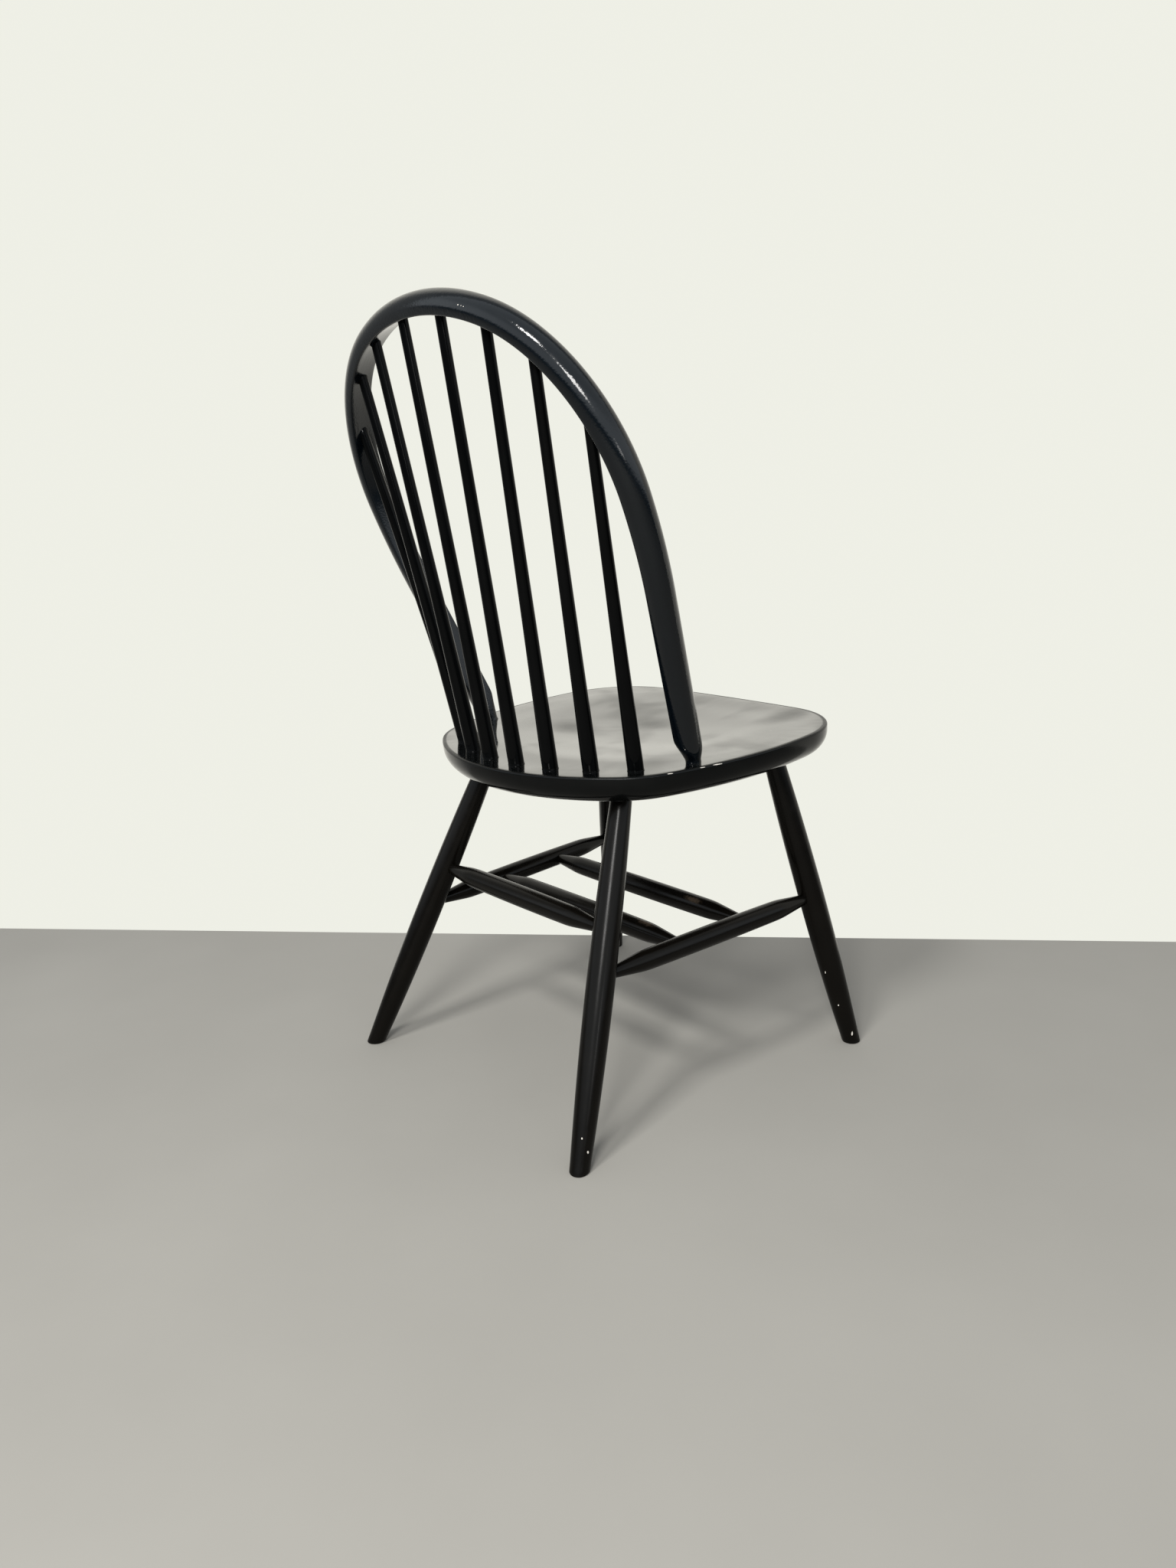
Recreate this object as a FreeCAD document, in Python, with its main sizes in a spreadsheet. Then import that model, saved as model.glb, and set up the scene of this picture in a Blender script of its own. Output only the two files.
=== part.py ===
import FreeCAD, Part
import math
import os

import Sketcher
from FreeCAD import Placement, Rotation, Vector

# A bow-back windsor chair. It stands on z = 0 with the sitter facing -Y, so the sitter's left is +X.
# Sizes are in millimetres and degrees. "Ahead" and "behind" are measured from the line through the
# bow's two feet, "across" from the chair's middle plane, and each "dia" is a diameter.
SIZES = {
    # where the chair stands: how far the bow's feet are behind the origin
    "bow_line_behind": 23.3,

    # the seat, drawn in its own sloping plane
    "seat_height": 409.0,
    "seat_slope": 2.9,
    "seat_thick": 33.0,
    "seat_half_width": 229.5,
    "seat_widest_ahead": 105.0,
    "seat_front_ahead": 262.0,
    "seat_back_behind": 150.0,
    "seat_front_radius": 2500.0,
    "seat_corner_radius": 110.0,
    "seat_side_radius": 420.0,
    "seat_shoulder_radius": 110.0,
    "seat_back_radius": 275.0,
    "seat_under_round": 26.0,
    "seat_top_round": 2.5,

    # the shallow dish that is hollowed out of its top
    "dish_deep": 8.0,
    "dish_ball": 50.0,
    "dish_half_width": 185.0,
    "dish_half_length": 152.0,
    "dish_ahead": 90.0,

    # the bow, drawn in its own plane by the line of its inner face
    "bow_tilt": 21.9,
    "bow_inner_height": 512.0,
    "bow_inner_half_width": 227.0,
    "bow_crown_radius": 276.0,
    "bow_shoulder_radius": 198.0,
    "bow_side_radius": 570.0,
    "bow_lean": 10.4,
    "bow_deep": 31.0,
    "bow_thick": 21.5,
    "bow_inner_edge_round": 2.0,
    "bow_outer_edge_round": 15.0,
    "bow_tenon_dia": 17.5,
    "bow_tenon_inset": 10.0,
    "bow_neck_height": 5.0,
    "bow_cone_height": 42.0,
    "bow_cone_dia": 41.0,

    # the spindles: their feet follow the seat's edge, their tops the bow's inner face
    "spindle_edge_inset": 28.5,
    "spindle_foot_pitch": 50.5,
    "spindle_1_top_round": 34.6,
    "spindle_2_top_round": 104.4,
    "spindle_3_top_round": 170.0,
    "spindle_4_top_round": 249.6,
    "spindle_foot_dia": 18.4,
    "spindle_middle_dia": 13.8,
    "spindle_top_dia": 11.2,
    "spindle_foot_straight": 14.0,
    "spindle_foot_deep": 19.0,
    "spindle_top_deep": 15.0,

    # the legs: where each stands on the floor and where its middle line enters the seat
    "rear_foot_across": 211.5,
    "rear_foot_behind": 204.0,
    "rear_leg_across": 127.3,
    "rear_leg_behind": 52.5,
    "front_foot_across": 229.0,
    "front_foot_ahead": 240.0,
    "front_leg_across": 153.0,
    "front_leg_ahead": 170.5,
    "leg_foot_dia": 23.0,
    "leg_belly_dia": 32.0,
    "leg_top_dia": 24.0,
    "leg_belly_share": 0.5,
    "leg_tenon_deep": 19.0,
    "leg_foot_round": 2.0,

    # the stretchers: where they meet the legs, and their turned shape
    "side_stretcher_rear_height": 187.0,
    "side_stretcher_front_height": 196.5,
    "rear_stretcher_height": 233.5,
    "cross_rear_behind_middle": 47.0,
    "cross_front_ahead_middle": 53.0,
    "stretcher_dia": 25.4,
    "stretcher_shoulder_dia": 24.0,
    "stretcher_tenon_dia": 13.0,
    "stretcher_cone_long": 45.0,
    "stretcher_tenon_past_axis": 4.0,

    # the wedges in the leg tops and in the bow's tenons
    "leg_wedge_long": 13.0,
    "bow_wedge_long": 20.0,
    "wedge_thick": 2.8,
    "wedge_tip": 0.8,

    # the room for glue round each tenon and wedge, and past a blind tenon's end
    "glue_gap": 0.1,
    "socket_spare": 1.0,
}

doc = FreeCAD.newDocument("windsor_chair")
sheet = doc.addObject("Spreadsheet::Sheet", "sizes")
for row, (alias, value) in enumerate(SIZES.items(), start=1):
    sheet.set(f"A{row}", alias)
    sheet.set(f"B{row}", str(value))
    sheet.setAlias(f"B{row}", alias)
doc.recompute()

UP = Vector(0, 0, 1)
SIDES = {"left": 1, "right": -1}
nodes = []


def size(name):
    """The value of one driving size, read from the sheet."""
    return float(sheet.get(name))


def lifted(place, distance):
    """A placement moved along its own Z axis."""
    return place.multiply(Placement(Vector(0, 0, distance), Rotation()))


def axis_from(start, end):
    """A placement at start whose Z axis points at end."""
    return Placement(start, Rotation(UP, end - start))


# The frames of the seat and of the bow, which meet on the line through the bow's feet
bow_line = Vector(0, size("bow_line_behind"), size("seat_height"))
seat_frame = Placement(bow_line, Rotation(Vector(1, 0, 0), -size("seat_slope")))
bow_frame = Placement(bow_line, Rotation(Vector(1, 0, 0), -size("bow_tilt")))


# Helpers for the document's sketches and solids
def worth(formula):
    """The number that a formula of the sheet's sizes gives."""
    number = sheet.evalExpression(formula.replace("sizes.", ""))
    return float(getattr(number, "Value", number))


def new_sketch(body, name, role):
    """A sketch on one of its body's own origin planes."""
    plane = next(f for f in body.Origin.OriginFeatures if f.Role == role)
    sketch = body.newObject("Sketcher::SketchObject", name)
    sketch.AttachmentSupport = [(plane, "")]
    sketch.MapMode = "FlatFace"
    return sketch


def hold(sketch, kind, items, formula):
    """Add a dimension to a sketch and bind it to a formula."""
    index = sketch.addConstraint(Sketcher.Constraint(kind, *items, worth(formula)))
    sketch.setExpression(f"Constraints[{index}]", formula)


def pin(sketch, edge, end, across, up):
    """Hold an edge's end at two distances from the sketch's origin, which may be nothing."""
    for kind, axis, formula in (("DistanceX", -2, across), ("DistanceY", -1, up)):
        number = worth(formula)
        if abs(number) < 1e-9:
            sketch.addConstraint(Sketcher.Constraint("PointOnObject", edge, end, axis))
        elif number > 0:
            hold(sketch, kind, (-1, 1, edge, end), formula)
        else:
            hold(sketch, kind, (edge, end, -1, 1), f"-({formula})")


def arc_edge(centre, radius, start, end):
    """An anticlockwise arc between two angles in radians."""
    circle = Part.Circle(Vector(centre[0], centre[1], 0), UP, radius)
    return Part.ArcOfCircle(circle, start, end)


def line_edge(start, end):
    """A straight edge between two points of a sketch."""
    return Part.LineSegment(Vector(*start, 0), Vector(*end, 0))


def turned(name, outline, place):
    """A blank turned about its own Z axis, from the outline of one side, bottom to top.

    Each entry is (how it is reached, radius, height). A "rise" is an arc that ends parallel
    to the axis and a "fall" is an arc that starts parallel to it.
    """
    body = doc.addObject("PartDesign::Body", f"{name}_blank")
    sketch = new_sketch(body, f"{name}_outline", "XZ_Plane")
    entries = [("start", "0", outline[0][2])] + outline + [("line", "0", outline[-1][2])]
    points = [(worth(radius), worth(height)) for _, radius, height in entries]
    for number, (how, radius, height) in enumerate(entries[1:], start=1):
        (r0, z0), (r1, z1) = points[number - 1], points[number]
        edge = number - 1
        if how == "line":
            sketch.addGeometry(line_edge((r0, z0), (r1, z1)))
        else:
            level, far, level_end = (z1, (r0, z0), 2) if how == "rise" else (z0, (r1, z1), 1)
            belly = max(r0, r1)
            centre = (belly ** 2 - far[0] ** 2 - (far[1] - level) ** 2) / (2 * (belly - far[0]))
            bottom = math.atan2(z0 - level, r0 - centre)
            top = math.atan2(z1 - level, r1 - centre)
            sketch.addGeometry(arc_edge((centre, level), belly - centre, bottom, top))
            sketch.addConstraint(Sketcher.Constraint("Horizontal", edge, 3, edge, level_end))
        if edge == 0:
            pin(sketch, edge, 1, *entries[0][1:])
        else:
            sketch.addConstraint(Sketcher.Constraint("Coincident", edge - 1, 2, edge, 1))
        pin(sketch, edge, 2, radius, height)
    closing = sketch.addGeometry(line_edge(points[-1], points[0]))
    sketch.addConstraint(Sketcher.Constraint("Coincident", closing - 1, 2, closing, 1))
    sketch.addConstraint(Sketcher.Constraint("Coincident", closing, 2, 0, 1))
    turning = body.newObject("PartDesign::Revolution", f"{name}_turning")
    turning.Profile = sketch
    turning.ReferenceAxis = (sketch, ["V_Axis"])
    turning.Angle = 360
    sketch.Visibility = False
    body.Placement = place
    return body


def bore(name, place, start, end, dia):
    """A round tool for a socket, between two distances along a tenon's own axis."""
    tool = doc.addObject("Part::Cylinder", name)
    tool.setExpression("Radius", f"({dia}) / 2 + sizes.glue_gap")
    tool.Height = end - start
    tool.Placement = lifted(place, start)
    return tool


def wedge_solid(name, place, long, breadth, room):
    """A wedge whose thick end is at its placement's origin and whose tip points along Z."""
    wedge = doc.addObject("Part::Wedge", name)
    for low, high, half in (
        ("Xmin", "Xmax", f"sizes.wedge_thick / 2 + {room}"),
        ("X2min", "X2max", f"sizes.wedge_tip / 2 + {room}"),
        ("Zmin", "Zmax", breadth),
        ("Z2min", "Z2max", breadth),
    ):
        wedge.setExpression(low, f"-({half})")
        wedge.setExpression(high, half)
    wedge.setExpression("Ymin", f"-({room})")
    wedge.setExpression("Ymax", f"{long} + {room}")
    wedge.Placement = place.multiply(Placement(Vector(), Rotation(Vector(1, 0, 0), 90)))
    return wedge


def piece_cut(name, blank, tools):
    """The finished piece: its blank less the sockets and slots that are made in it."""
    tool = tools[0]
    if len(tools) > 1:
        tool = doc.addObject("Part::MultiFuse", f"{name}_tools")
        tool.Shapes = tools
    piece = doc.addObject("Part::Cut", name)
    piece.Base = blank
    piece.Tool = tool
    return piece


def keep(name, piece):
    """Name a finished piece as a node of the chair."""
    piece.Label = name
    nodes.append(piece)


def slab(name, place, top):
    """A wide block whose upper face lies at a height in its placement's frame."""
    reach = 2 * size("seat_front_ahead")
    block = doc.addObject("Part::Box", name)
    block.Length = 2 * reach
    block.Width = 2 * reach
    block.Height = reach
    block.Placement = place.multiply(Placement(Vector(-reach, -reach, top - reach), Rotation()))
    return block


# The seat's outline: arcs that run into each other, mirrored about the middle plane
def touching_centre(outer_1, radius_1, outer_2, radius_2, radius):
    """The centre of an arc that lies inside two larger arcs and touches both."""
    reach_1, reach_2 = radius_1 - radius, radius_2 - radius
    across = Vector(*outer_2, 0) - Vector(*outer_1, 0)
    apart = across.Length
    share = (reach_1 ** 2 - reach_2 ** 2 + apart ** 2) / (2 * apart)
    rise = math.sqrt(reach_1 ** 2 - share ** 2)
    along = across / apart
    middle = Vector(*outer_1, 0) + along * share
    centres = [middle + Vector(-along.y, along.x, 0) * rise * s for s in (1, -1)]
    centre = max(centres, key=lambda point: point.x)
    return centre.x, centre.y


def heading(start, end):
    """The angle of the line from one point to another."""
    return math.atan2(end[1] - start[1], end[0] - start[0])


def seat_arcs():
    """The arcs of the left half, front to back: size of radius, centre, start and end angle."""
    front = (0, size("seat_front_radius") - size("seat_front_ahead"))
    side = (size("seat_half_width") - size("seat_side_radius"), -size("seat_widest_ahead"))
    back = (0, size("seat_back_behind") - size("seat_back_radius"))
    corner = touching_centre(front, size("seat_front_radius"), side, size("seat_side_radius"),
                             size("seat_corner_radius"))
    shoulder = touching_centre(back, size("seat_back_radius"), side, size("seat_side_radius"),
                               size("seat_shoulder_radius"))
    turns = [-math.pi / 2, heading(front, corner), heading(side, corner),
             heading(side, shoulder), heading(back, shoulder), math.pi / 2]
    centres = [front, corner, side, shoulder, back]
    kinds = ["front", "corner", "side", "shoulder", "back"]
    return [(f"sizes.seat_{kind}_radius", centre, turns[i], turns[i + 1])
            for i, (kind, centre) in enumerate(zip(kinds, centres))]


def point_inside_edge(inset, distance):
    """A point on a line inside the seat's edge, by its distance along it from the back."""
    for radius, centre, start, end in reversed(seat_arcs()):
        reach = worth(radius) - inset
        long = reach * (end - start)
        if distance <= long:
            angle = end - distance / reach
            break
        distance -= long
    return centre[0] + reach * math.cos(angle), centre[1] + reach * math.sin(angle)


def seat_blank():
    """The seat as sawn and rounded, before it is hollowed and bored."""
    body = doc.addObject("PartDesign::Body", "seat_blank")
    sketch = new_sketch(body, "seat_outline", "XY_Plane")
    left = seat_arcs()
    front, back = left[0], left[-1]
    right = [(radius, (-centre[0], centre[1]), math.pi - end, math.pi - start)
             for radius, centre, start, end in reversed(left[1:-1])]
    ring = [(front[0], front[1], -math.pi - front[3], front[3])] + left[1:-1]
    ring += [(back[0], back[1], back[2], math.pi - back[2])] + right
    for radius, centre, start, end in ring:
        edge = sketch.addGeometry(arc_edge(centre, worth(radius), start, end))
        hold(sketch, "Radius", (edge,), radius)
    for edge in range(len(ring)):
        follower = (edge + 1) % len(ring)
        sketch.addConstraint(Sketcher.Constraint("Tangent", edge, 2, follower, 1))
    half = "sizes.seat_half_width - sizes.seat_side_radius"
    pin(sketch, 0, 3, "0", "sizes.seat_front_radius - sizes.seat_front_ahead")
    pin(sketch, 2, 3, half, "-sizes.seat_widest_ahead")
    pin(sketch, 4, 3, "0", "sizes.seat_back_behind - sizes.seat_back_radius")
    pin(sketch, 6, 3, f"-({half})", "-sizes.seat_widest_ahead")

    board = body.newObject("PartDesign::Pad", "seat_board")
    board.Profile = sketch
    board.setExpression("Length", "sizes.seat_thick")
    board.Reversed = True
    sketch.Visibility = False
    rounded = board
    for name, level, radius in (("under", -size("seat_thick"), "sizes.seat_under_round"),
                                ("top", 0, "sizes.seat_top_round")):
        doc.recompute()
        faces = [f"Face{i}" for i, face in enumerate(rounded.Shape.Faces, start=1)
                 if abs(face.BoundBox.ZMin - level) < 1e-4 and face.BoundBox.ZLength < 1e-4]
        fillet = body.newObject("PartDesign::Fillet", f"seat_{name}_rounding")
        fillet.Base = (rounded, faces)
        fillet.setExpression("Radius", radius)
        rounded = fillet
    body.Placement = seat_frame
    return body


def dish():
    """The ball that hollows the seat's top, sunk in it to the depth of the dish."""
    ball = doc.addObject("Part::Ellipsoid", "seat_dish")
    lift = "(sizes.dish_ball - sizes.dish_deep)"
    spread = f"sqrt(1 - ({lift} / sizes.dish_ball)^2)"
    ball.setExpression("Radius1", "sizes.dish_ball")
    ball.setExpression("Radius2", f"sizes.dish_half_width / {spread}")
    ball.setExpression("Radius3", f"sizes.dish_half_length / {spread}")
    centre = Vector(0, -size("dish_ahead"), worth(lift))
    ball.Placement = seat_frame.multiply(Placement(centre, Rotation()))
    return ball


# The bow's inner face: crown, shoulder and side arcs, then straight to the seat
bow_lean = math.radians(size("bow_lean"))
crown_turn = math.asin((size("bow_inner_half_width") - size("bow_shoulder_radius"))
                       / (size("bow_crown_radius") - size("bow_shoulder_radius")))
bow_turns = [("sizes.bow_crown_radius", crown_turn),
             ("sizes.bow_shoulder_radius", math.pi / 2 - crown_turn),
             ("sizes.bow_side_radius", bow_lean)]


def bow_runs():
    """Each arc as radius formula, centre, and the angle from the bow's height at either end."""
    at = (0, size("bow_inner_height"))
    turned_by = 0
    runs = []
    for radius, turn in bow_turns:
        reach = worth(radius)
        centre = (at[0] - reach * math.sin(turned_by), at[1] - reach * math.cos(turned_by))
        runs.append((radius, centre, turned_by, turned_by + turn))
        turned_by += turn
        at = (centre[0] + reach * math.sin(turned_by), centre[1] + reach * math.cos(turned_by))
    return runs, at


def point_on_bow(distance):
    """A point of the bow's inner face by its distance round it from the crown."""
    for radius, centre, start, end in bow_runs()[0]:
        reach = worth(radius)
        if distance <= reach * (end - start):
            angle = start + distance / reach
            return Vector(centre[0] + reach * math.sin(angle), 0,
                          centre[1] + reach * math.cos(angle))
        distance -= reach * (end - start)
    raise ValueError("a spindle's top lies past the bow's side")


straight_top = bow_runs()[1]
bow_foot_across = straight_top[0] - straight_top[1] * math.tan(bow_lean)
tenon_across = bow_foot_across + size("bow_tenon_inset") / math.cos(bow_lean)
tenon_run = 2 * size("seat_thick")


def tenon_axis(side):
    """The middle line of one of the bow's tenons, from the seat's top upwards."""
    foot = Vector(side * tenon_across, 0, 0)
    upwards = Vector(side * math.sin(bow_lean), 0, math.cos(bow_lean))
    return bow_frame.multiply(axis_from(foot, foot + upwards))


def bow_blank():
    """The bow as bent, with one section all the way and square ends below the seat."""
    body = doc.addObject("PartDesign::Body", "bow_blank")
    line = new_sketch(body, "bow_line", "XZ_Plane")
    arcs, end = bow_runs()
    for number, (radius, centre, start, stop) in enumerate(arcs):
        line.addGeometry(arc_edge(centre, worth(radius), math.pi / 2 - stop, math.pi / 2 - start))
        hold(line, "Radius", (number,), radius)
        if number:
            line.addConstraint(Sketcher.Constraint("Tangent", number - 1, 1, number, 2))
    foot = (end[0] - (end[1] + tenon_run) * math.tan(bow_lean), -tenon_run)
    line.addGeometry(line_edge(end, foot))
    line.addConstraint(Sketcher.Constraint("Tangent", 2, 1, 3, 1))
    pin(line, 0, 2, "0", "sizes.bow_inner_height")
    line.addConstraint(Sketcher.Constraint("PointOnObject", 0, 3, -2))
    line.addConstraint(Sketcher.Constraint("Horizontal", 1, 3, 1, 1))
    hold(line, "DistanceX", (-1, 1, 1, 1), "sizes.bow_inner_half_width")
    hold(line, "DistanceY", (3, 2, -1, 1), "2 * sizes.seat_thick")
    hold(line, "DistanceX", (3, 2, 3, 1),
         "(sizes.bow_inner_height - sizes.bow_crown_radius"
         " + (sizes.bow_crown_radius - sizes.bow_shoulder_radius)"
         " * sqrt(1 - ((sizes.bow_inner_half_width - sizes.bow_shoulder_radius)"
         " / (sizes.bow_crown_radius - sizes.bow_shoulder_radius))^2)"
         " - sizes.bow_side_radius * sin(sizes.bow_lean) + 2 * sizes.seat_thick)"
         " * tan(sizes.bow_lean)")

    section = new_sketch(body, "bow_section", "YZ_Plane")
    half = size("bow_deep") / 2
    low, high = size("bow_inner_height"), size("bow_inner_height") + size("bow_thick")
    rounds = [("inner", -1, low, 1), ("inner", 1, low, 1),
              ("outer", 1, high, -1), ("outer", -1, high, -1)]
    corners = []
    for kind, across, level, inwards in rounds:
        radius = size(f"bow_{kind}_edge_round")
        centre = (across * (half - radius), level + inwards * radius)
        quarter = {(-1, 1): math.pi, (1, 1): -math.pi / 2, (1, -1): 0, (-1, -1): math.pi / 2}
        corners.append((kind, centre, radius, quarter[(across, inwards)]))
    for number, (kind, centre, radius, start) in enumerate(corners):
        arc = section.addGeometry(arc_edge(centre, radius, start, start + math.pi / 2))
        hold(section, "Radius", (arc,), f"sizes.bow_{kind}_edge_round")
    for number in range(4):
        after = (number + 1) % 4
        start = section.Geometry[number].EndPoint
        stop = section.Geometry[after].StartPoint
        edge = section.addGeometry(line_edge((start.x, start.y), (stop.x, stop.y)))
        section.addConstraint(Sketcher.Constraint("Tangent", number, 2, edge, 1))
        section.addConstraint(Sketcher.Constraint("Tangent", edge, 2, after, 1))
    for edge, direction in ((4, "Horizontal"), (5, "Vertical"), (6, "Horizontal"), (7, "Vertical")):
        section.addConstraint(Sketcher.Constraint(direction, edge))
    hold(section, "DistanceY", (-1, 1, 4, 1), "sizes.bow_inner_height")
    hold(section, "DistanceY", (-1, 1, 6, 1), "sizes.bow_inner_height + sizes.bow_thick")
    hold(section, "DistanceX", (-1, 1, 5, 1), "sizes.bow_deep / 2")
    hold(section, "DistanceX", (7, 1, -1, 1), "sizes.bow_deep / 2")

    half_bow = body.newObject("PartDesign::AdditivePipe", "bow_bend")
    half_bow.Profile = section
    half_bow.Spine = (line, ["Edge1", "Edge2", "Edge3", "Edge4"])
    doc.recompute()
    both = body.newObject("PartDesign::Mirrored", "bow_both_halves")
    both.Originals = [half_bow]
    plane = next(f for f in body.Origin.OriginFeatures if f.Role == "YZ_Plane")
    both.MirrorPlane = (plane, [""])
    body.Tip = both
    for sketch in (line, section):
        sketch.Visibility = False
    body.Placement = bow_frame
    return body


def whittling(name, place):
    """What is cut away round one end of the bow to leave its cone and its tenon."""
    below, neck, top = tenon_run, size("bow_neck_height"), size("bow_cone_height")
    around = doc.addObject("Part::Cylinder", f"{name}_around")
    around.setExpression("Radius", "2 * sizes.bow_deep")
    around.Height = below + top
    around.Placement = lifted(place, -below)
    tenon = doc.addObject("Part::Cylinder", f"{name}_tenon")
    tenon.setExpression("Radius", "sizes.bow_tenon_dia / 2")
    tenon.Height = below + neck
    tenon.Placement = lifted(place, -below)
    cone = doc.addObject("Part::Cone", f"{name}_cone")
    cone.setExpression("Radius1", "sizes.bow_tenon_dia / 2")
    cone.setExpression("Radius2", "sizes.bow_cone_dia / 2")
    cone.setExpression("Height", "sizes.bow_cone_height - sizes.bow_neck_height")
    cone.Placement = lifted(place, neck)
    left = doc.addObject("Part::MultiFuse", f"{name}_left")
    left.Shapes = [tenon, cone]
    waste = doc.addObject("Part::Cut", f"{name}_waste")
    waste.Base = around
    waste.Tool = left
    return waste


# Where each leg stands and enters the seat, and where each stretcher meets the legs
def leg_axis(end, side):
    """A leg's middle line, from the floor up to where it enters the seat, and its length."""
    outwards = 1 if end == "rear" else -1
    way = "behind" if end == "rear" else "ahead"
    foot = Vector(side * size(f"{end}_foot_across"),
                  size("bow_line_behind") + outwards * size(f"{end}_foot_{way}"), 0)
    entry = seat_frame.multVec(Vector(side * size(f"{end}_leg_across"),
                                      outwards * size(f"{end}_leg_{way}"), -size("seat_thick")))
    return axis_from(foot, entry), (entry - foot).Length


def on_leg(end, side, height):
    """The point of a leg's middle line at a height over the floor."""
    place, long = leg_axis(end, side)
    upwards = place.Rotation.multVec(UP)
    return place.Base + upwards * (height / upwards.z)


def stretcher_ends():
    """The two ends of each stretcher, on the middle lines of what it joins."""
    ends = {}
    for name, side in SIDES.items():
        ends[f"side_stretcher_{name}"] = (
            on_leg("rear", side, size("side_stretcher_rear_height")),
            on_leg("front", side, size("side_stretcher_front_height")))
    for name, along in (("rear", -size("cross_rear_behind_middle")),
                        ("front", size("cross_front_ahead_middle"))):
        points = []
        for side in SIDES:
            start, end = ends[f"side_stretcher_{side}"]
            points.append((start + end) / 2 + (end - start).normalize() * along)
        ends[f"cross_stretcher_{name}"] = tuple(points)
    ends["rear_stretcher"] = tuple(on_leg("rear", side, size("rear_stretcher_height"))
                                   for side in SIDES.values())
    return ends


stretchers = stretcher_ends()


def stretcher_blank(name):
    """A stretcher: a tenon, a cone, a slightly swelling middle, and the same again."""
    start, end = stretchers[name]
    long = (end - start).Length
    host = "sizes.stretcher_dia" if name.startswith("cross") else "sizes.leg_belly_dia"
    cone = f"({host} / 2 - 1)"
    shoulder = f"({cone} + sizes.stretcher_cone_long)"
    tenon, broad = "sizes.stretcher_tenon_dia / 2", "sizes.stretcher_shoulder_dia / 2"
    outline = [("line", tenon, "-sizes.stretcher_tenon_past_axis"),
               ("line", tenon, cone),
               ("line", broad, shoulder),
               ("rise", "sizes.stretcher_dia / 2", f"{long / 2}"),
               ("fall", broad, f"{long} - {shoulder}"),
               ("line", tenon, f"{long} - {cone}"),
               ("line", tenon, f"{long} + sizes.stretcher_tenon_past_axis")]
    return turned(name, outline, axis_from(start, end))


def stretcher_bores(host, joined):
    """The sockets in a leg or side stretcher for the stretchers that it holds."""
    tools = []
    for name, at_start in joined:
        start, end = stretchers[name]
        place = axis_from(start, end) if at_start else axis_from(end, start)
        past = size("stretcher_tenon_past_axis") + size("socket_spare")
        tools.append(bore(f"{host}_socket_{name}", place, -past, size("leg_belly_dia"),
                          "sizes.stretcher_tenon_dia"))
    return tools


def wedge_breadth(dia):
    """Half the breadth of a wedge whose corners stay inside a round tenon."""
    return f"(sqrt(({dia})^2 - sizes.wedge_thick^2) / 2 - sizes.glue_gap)"


# Legs, with the blind wedges that spread their tops
seat_bores = []
for end in ("front", "rear"):
    for side_name, side in SIDES.items():
        name = f"leg_{end}_{side_name}"
        place, long = leg_axis(end, side)
        top = f"({long} + sizes.leg_tenon_deep)"
        belly = f"({long} * sizes.leg_belly_share)"
        blank = turned(name, [
            ("line", "sizes.leg_foot_dia / 2", "-sizes.leg_foot_dia"),
            ("line", "sizes.leg_foot_dia / 2", "sizes.leg_foot_dia / 2"),
            ("rise", "sizes.leg_belly_dia / 2", belly),
            ("fall", "sizes.leg_top_dia / 2", f"{long}"),
            ("line", "sizes.leg_top_dia / 2", top)], place)
        joined = [(f"side_stretcher_{side_name}", end == "rear")]
        if end == "rear":
            joined.append(("rear_stretcher", side_name == "left"))
        turned_over = Placement(Vector(), Rotation(Vector(1, 0, 0), 180))
        thick_end = lifted(place, worth(top)).multiply(turned_over)
        slot = wedge_solid(f"{name}_slot", thick_end, "sizes.leg_wedge_long", "sizes.leg_top_dia",
                           "sizes.glue_gap")
        tools = [slab(f"{name}_floor", Placement(), 0), slot] + stretcher_bores(name, joined)
        trimmed = piece_cut(f"{name}_trimmed", blank, tools)
        doc.recompute()
        rim = [(i, size("leg_foot_round"), size("leg_foot_round"))
               for i, edge in enumerate(trimmed.Shape.Edges, start=1)
               if edge.BoundBox.ZMax < 1e-4]
        leg = doc.addObject("Part::Fillet", name)
        leg.Base = trimmed
        leg.Edges = rim
        keep(name, leg)
        wedge = wedge_solid(f"leg_wedge_{end}_{side_name}", thick_end, "sizes.leg_wedge_long",
                            wedge_breadth("sizes.leg_top_dia"), "0")
        keep(f"leg_wedge_{end}_{side_name}", wedge)
        seat_bores.append(bore(f"seat_socket_{name}", place, long - size("seat_thick"),
                               worth(top) + size("socket_spare"), "sizes.leg_top_dia"))

# Stretchers: the side pair is bored for the cross pair
for side_name in SIDES:
    name = f"side_stretcher_{side_name}"
    joined = [(f"cross_stretcher_{way}", side_name == "left") for way in ("rear", "front")]
    keep(name, piece_cut(name, stretcher_blank(name), stretcher_bores(name, joined)))
for name in ("cross_stretcher_rear", "cross_stretcher_front", "rear_stretcher"):
    keep(name, stretcher_blank(name))

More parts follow.
